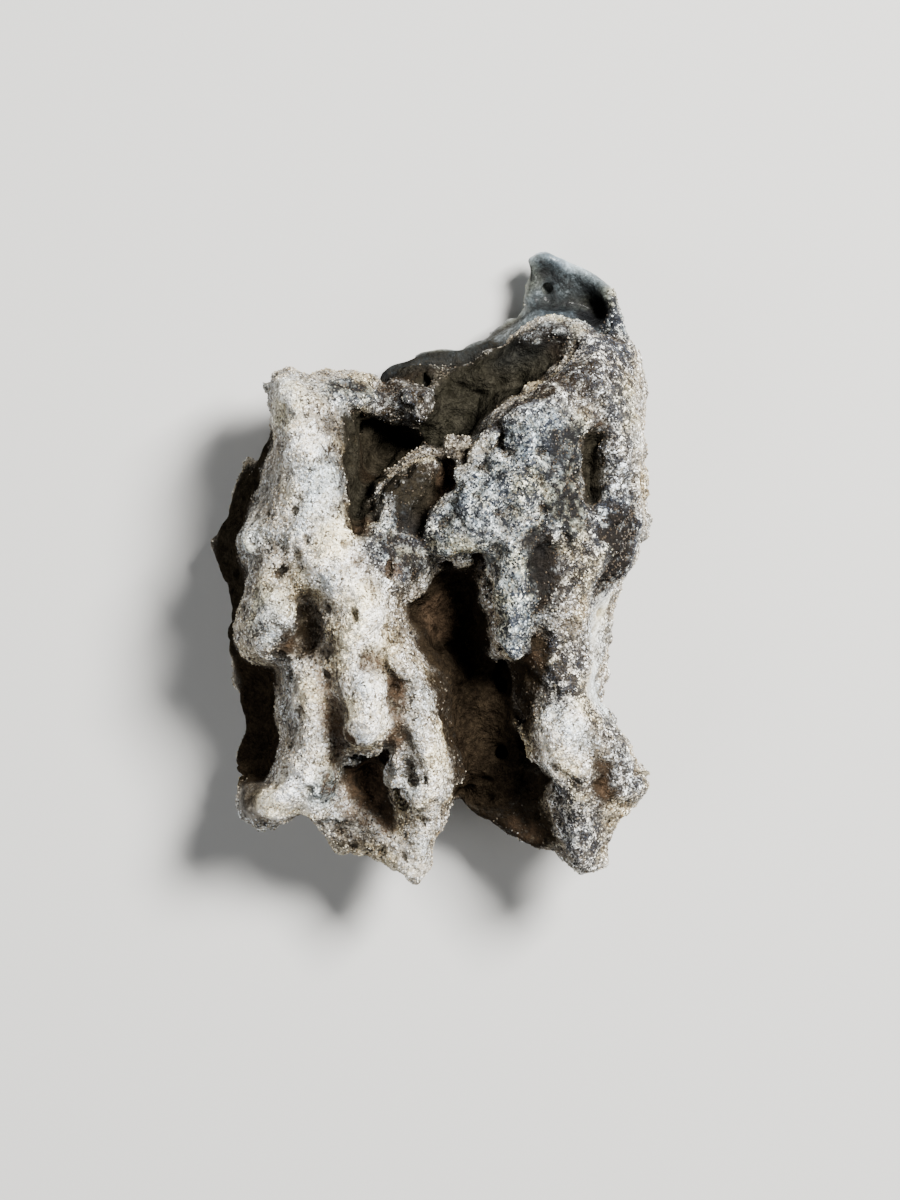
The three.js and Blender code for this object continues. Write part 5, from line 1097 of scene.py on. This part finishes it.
def grain_maker():
    """Geometry Nodes that strew small stones over a surface, fewer where it is smooth, and fewer under the
    dirt and painted shade of the stains and hollows.
    """
    tree = bpy.data.node_groups.new("strewn_grains", "GeometryNodeTree")
    face = tree.interface
    face.new_socket("Surface", in_out="INPUT", socket_type="NodeSocketGeometry")
    face.new_socket("Grains", in_out="OUTPUT", socket_type="NodeSocketGeometry")
    for name, kind in (("Per Square Metre", "Float"), ("Grain Size", "Float"), ("More On Char", "Float"),
                       ("Seed", "Int"), ("Finish", "Material")):
        face.new_socket(name, in_out="INPUT", socket_type="NodeSocket" + kind)
    given = tree.nodes.new("NodeGroupInput").outputs

    def node(kind, settings=None, inputs=None, out=0):
        return add_node(tree, kind, settings, inputs, out)

    def sum_of(operation, a, b, clamp=False):
        return node("ShaderNodeMath", {"operation": operation, "use_clamp": clamp}, {0: a, 1: b})

    def mark(name):
        return node("GeometryNodeInputNamedAttribute", {"data_type": "FLOAT"}, {"Name": name})

    smooth = sum_of("ADD", mark("plain"), mark("glassy"))
    filled = sum_of("ADD", sum_of("MULTIPLY", mark("stain_and_shade"), 1.1), sum_of("MULTIPLY", mark("cave"), 0.4))
    share = sum_of("SUBTRACT", 1.0, sum_of("ADD", smooth, filled, clamp=True))
    char = sum_of("MULTIPLY", sum_of("SUBTRACT", mark("charred"), 0.5), given["More On Char"])
    share = sum_of("MULTIPLY", share, sum_of("ADD", 1.0, char))
    density = sum_of("MULTIPLY", share, given["Per Square Metre"])
    points = node("GeometryNodeDistributePointsOnFaces", inputs={"Mesh": given["Surface"], "Density": density,
                                                                 "Seed": given["Seed"]})
    tone = node("FunctionNodeRandomValue", {"data_type": "FLOAT"}, {"Seed": given["Seed"]}, out=1)
    points = node("GeometryNodeStoreNamedAttribute", {"data_type": "FLOAT", "domain": "POINT"},
                  {"Geometry": points, "Name": "tone", "Value": tone})
    stone = node("GeometryNodeMeshIcoSphere", inputs={"Radius": 0.5, "Subdivisions": 1})
    turn = node("FunctionNodeRandomValue", {"data_type": "FLOAT_VECTOR"}, {"Max": FULL_TURN, "Seed": 3})
    size = node("FunctionNodeRandomValue", {"data_type": "FLOAT_VECTOR"},
                {"Min": THINNEST, "Max": THICKEST, "Seed": 4})
    size = node("ShaderNodeVectorMath", {"operation": "SCALE"}, {0: size, "Scale": given["Grain Size"]})
    stones = node("GeometryNodeInstanceOnPoints",
                  inputs={"Points": points, "Instance": stone, "Rotation": turn, "Scale": size})
    stones = node("GeometryNodeRealizeInstances", inputs={"Geometry": stones})
    stones = node("GeometryNodeSetMaterial", inputs={"Geometry": stones, "Material": given["Finish"]})
    tree.links.new(stones, tree.nodes.new("NodeGroupOutput").inputs["Grains"])
    return tree


strewn_tree = grain_maker()


def strew(name, finish, per_square_mm, size, more_on_char, seed):
    """A mesh of loose grains over the body. More on char is how much denser they are where it is charred."""
    grains = bpy.data.objects.new(name, thinned)
    bpy.context.scene.collection.objects.link(grains)
    maker = grains.modifiers.new("grains", "NODES")
    maker.node_group = strewn_tree
    values = {"Per Square Metre": per_square_mm / MM**2, "Grain Size": size * MM,
              "More On Char": more_on_char, "Seed": seed, "Finish": finish}
    for item in strewn_tree.interface.items_tree:
        if item.name in values:
            maker[item.identifier] = values[item.name]
    made = bpy.data.meshes.new_from_object(grains.evaluated_get(bpy.context.evaluated_depsgraph_get()))
    grains.modifiers.remove(maker)
    grains.data = made
    made.name = name
    made.shade_flat()
    return grains


DULL_TINT = (0.52, 0.47, 0.39, 1)
YELLOW_TINT = (1.0, 0.95, 0.78, 1)
RUST_TINT = (0.46, 0.34, 0.24, 1)
DEEP_BLUE_TINT = (0.62, 0.80, 0.95, 1)
WORN_AND_LIT_GRAIN = (0.34, 0.30, 0.24, 1)
SOOT = (0.03, 0.032, 0.04, 1)
GRAIN_DIRT_AND_SHADE = (0.05, 0.035, 0.02, 1)


def grain_finish(name, light, dark, roughness, fade=0):
    """A glassy grain whose tone differs from its neighbours', dulled with painted shade away from the crests,
    and darkened where the crust is stained, hollow or creased, by dirt and painted shade both. Fade is
    how far it pales on the worn ridges, where painted light lies too."""
    skin = Skin(name)
    tone, stain_and_shade, cave, crest, crease, pale, charred, rusty, bluish = skin.marks(
        "tone", "stain_and_shade", "cave", "crest", "crease", "pale", "charred", "rusty", "bluish")
    dirty_and_shaded = skin.clamp(stain_and_shade * 1.4 + cave * 0.9 + (crease - 0.62) * 1.2)
    worn_and_lit = skin.clamp(pale * (0.4 + 0.9 * crest) + crest * 0.3 + skin.noise(3.4) - 0.4)
    flaws = skin.noise(0.12, 2.0, 0.6)
    colour = skin.mix(skin.step(tone + (flaws - 0.5) * 0.5, 0.1, 0.9), dark, light)
    colour = skin.mix(worn_and_lit, skin.shade(colour, DULL_TINT), colour)
    colour = skin.mix(worn_and_lit * (1 - charred) * fade, colour, WORN_AND_LIT_GRAIN)
    sooty = charred * skin.step(skin.noise(1.1, 2.0, 0.6), 0.46, 0.58) * 0.85
    colour = skin.mix(sooty, colour, SOOT)
    colour = skin.cast(colour, rusty, grey(1), YELLOW_TINT)
    colour = skin.mix(rusty * 0.6, colour, skin.shade(colour, RUST_TINT))
    colour = skin.mix(bluish * 0.5, colour, skin.shade(colour, DEEP_BLUE_TINT))
    colour = skin.mix(dirty_and_shaded * (2 - dirty_and_shaded), colour, GRAIN_DIRT_AND_SHADE)
    skin.feed("Base Color", colour)
    skin.feed("Roughness", skin.clamp(roughness + (flaws - 0.5) * 0.5 + dirty_and_shaded * 0.3))
    return skin.material


white_quartz = grain_finish("white_quartz", (0.97, 0.96, 0.90, 1), (0.50, 0.485, 0.435, 1), 0.22)
cream_quartz = grain_finish("cream_quartz", (0.80, 0.73, 0.58, 1), (0.28, 0.225, 0.15, 1), 0.35)
smoky_quartz = grain_finish("smoky_quartz", (0.07, 0.07, 0.075, 1), (0.012, 0.012, 0.014, 1), 0.2, fade=0.5)
# Each kind's name, finish, grains in a square millimetre, size in millimetres, more on char and seed.
for name, finish, amount, size, more_on_char, seed, slot_name in (
    ("white_grains", white_quartz, 1.34, 0.27, 0.2, 1, "quartz_grain"),
    ("small_white_grains", white_quartz, 1.4, 0.2, 0.3, 2, "quartz_grain"),
    ("cream_grains", cream_quartz, 0.92, 0.26, -0.8, 3, "quartz_grain"),
    ("smoky_grains", smoky_quartz, 3.2, 0.24, 1.6, 4, "dark_grain"),
):
    grains = strew(name, finish, amount, size, more_on_char, seed)
    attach(grains, "root")

# ---- The studio ---------------------------------------------------------------------------------
# A plain pale floor that the piece lies on, a soft lamp to the upper right with a weak one opposite,
# a faint even light from all round, and the camera straight above, looking down at the front.
floor_mesh = bpy.data.meshes.new("floor")
floor_mesh.from_pydata([(-1, -1, 0), (1, -1, 0), (1, 1, 0), (-1, 1, 0)], [], [(0, 1, 2, 3)])
floor = bpy.data.objects.new("floor", floor_mesh)
bpy.context.scene.collection.objects.link(floor)
floor_paint = bpy.data.materials.new("pale_floor")
floor_paint.use_nodes = True
paint_inputs = floor_paint.node_tree.nodes["Principled BSDF"].inputs
paint_inputs["Base Color"].default_value = (0.50, 0.50, 0.49, 1)
paint_inputs["Roughness"].default_value = 0.8
floor_mesh.materials.append(floor_paint)

LAMP_DISTANCE = 0.6


def soft_light(name, toward, size, watts, tint):
    """A square lamp of a size, out from the piece in a direction and facing it."""
    lamp = bpy.data.lights.new(name, "AREA")
    lamp.size = size
    lamp.energy = watts
    lamp.color = tint
    holder = bpy.data.objects.new(name, lamp)
    aim = Vector(toward).normalized()
    holder.location = aim * LAMP_DISTANCE
    holder.rotation_euler = aim.to_track_quat("Z", "Y").to_euler()
    bpy.context.scene.collection.objects.link(holder)


soft_light("key", (0.47, 0.34, 0.81), 0.18, 16.4, (1.0, 0.98, 0.945))
soft_light("fill", (-0.55, -0.4, 0.73), 0.3, 1.5, (0.97, 0.98, 1.0))

world = bpy.data.worlds.new("studio")
world.use_nodes = True
sky = world.node_tree.nodes["Background"].inputs
sky["Color"].default_value = (0.8, 0.83, 0.86, 1)
sky["Strength"].default_value = 0.05
bpy.context.scene.world = world

lens = bpy.data.cameras.new("camera")
lens.lens = 210
lens.clip_start = 0.05
camera = bpy.data.objects.new("camera", lens)
camera.location = (0.002, -0.0034, 0.714)
bpy.context.scene.collection.objects.link(camera)
bpy.context.scene.camera = camera

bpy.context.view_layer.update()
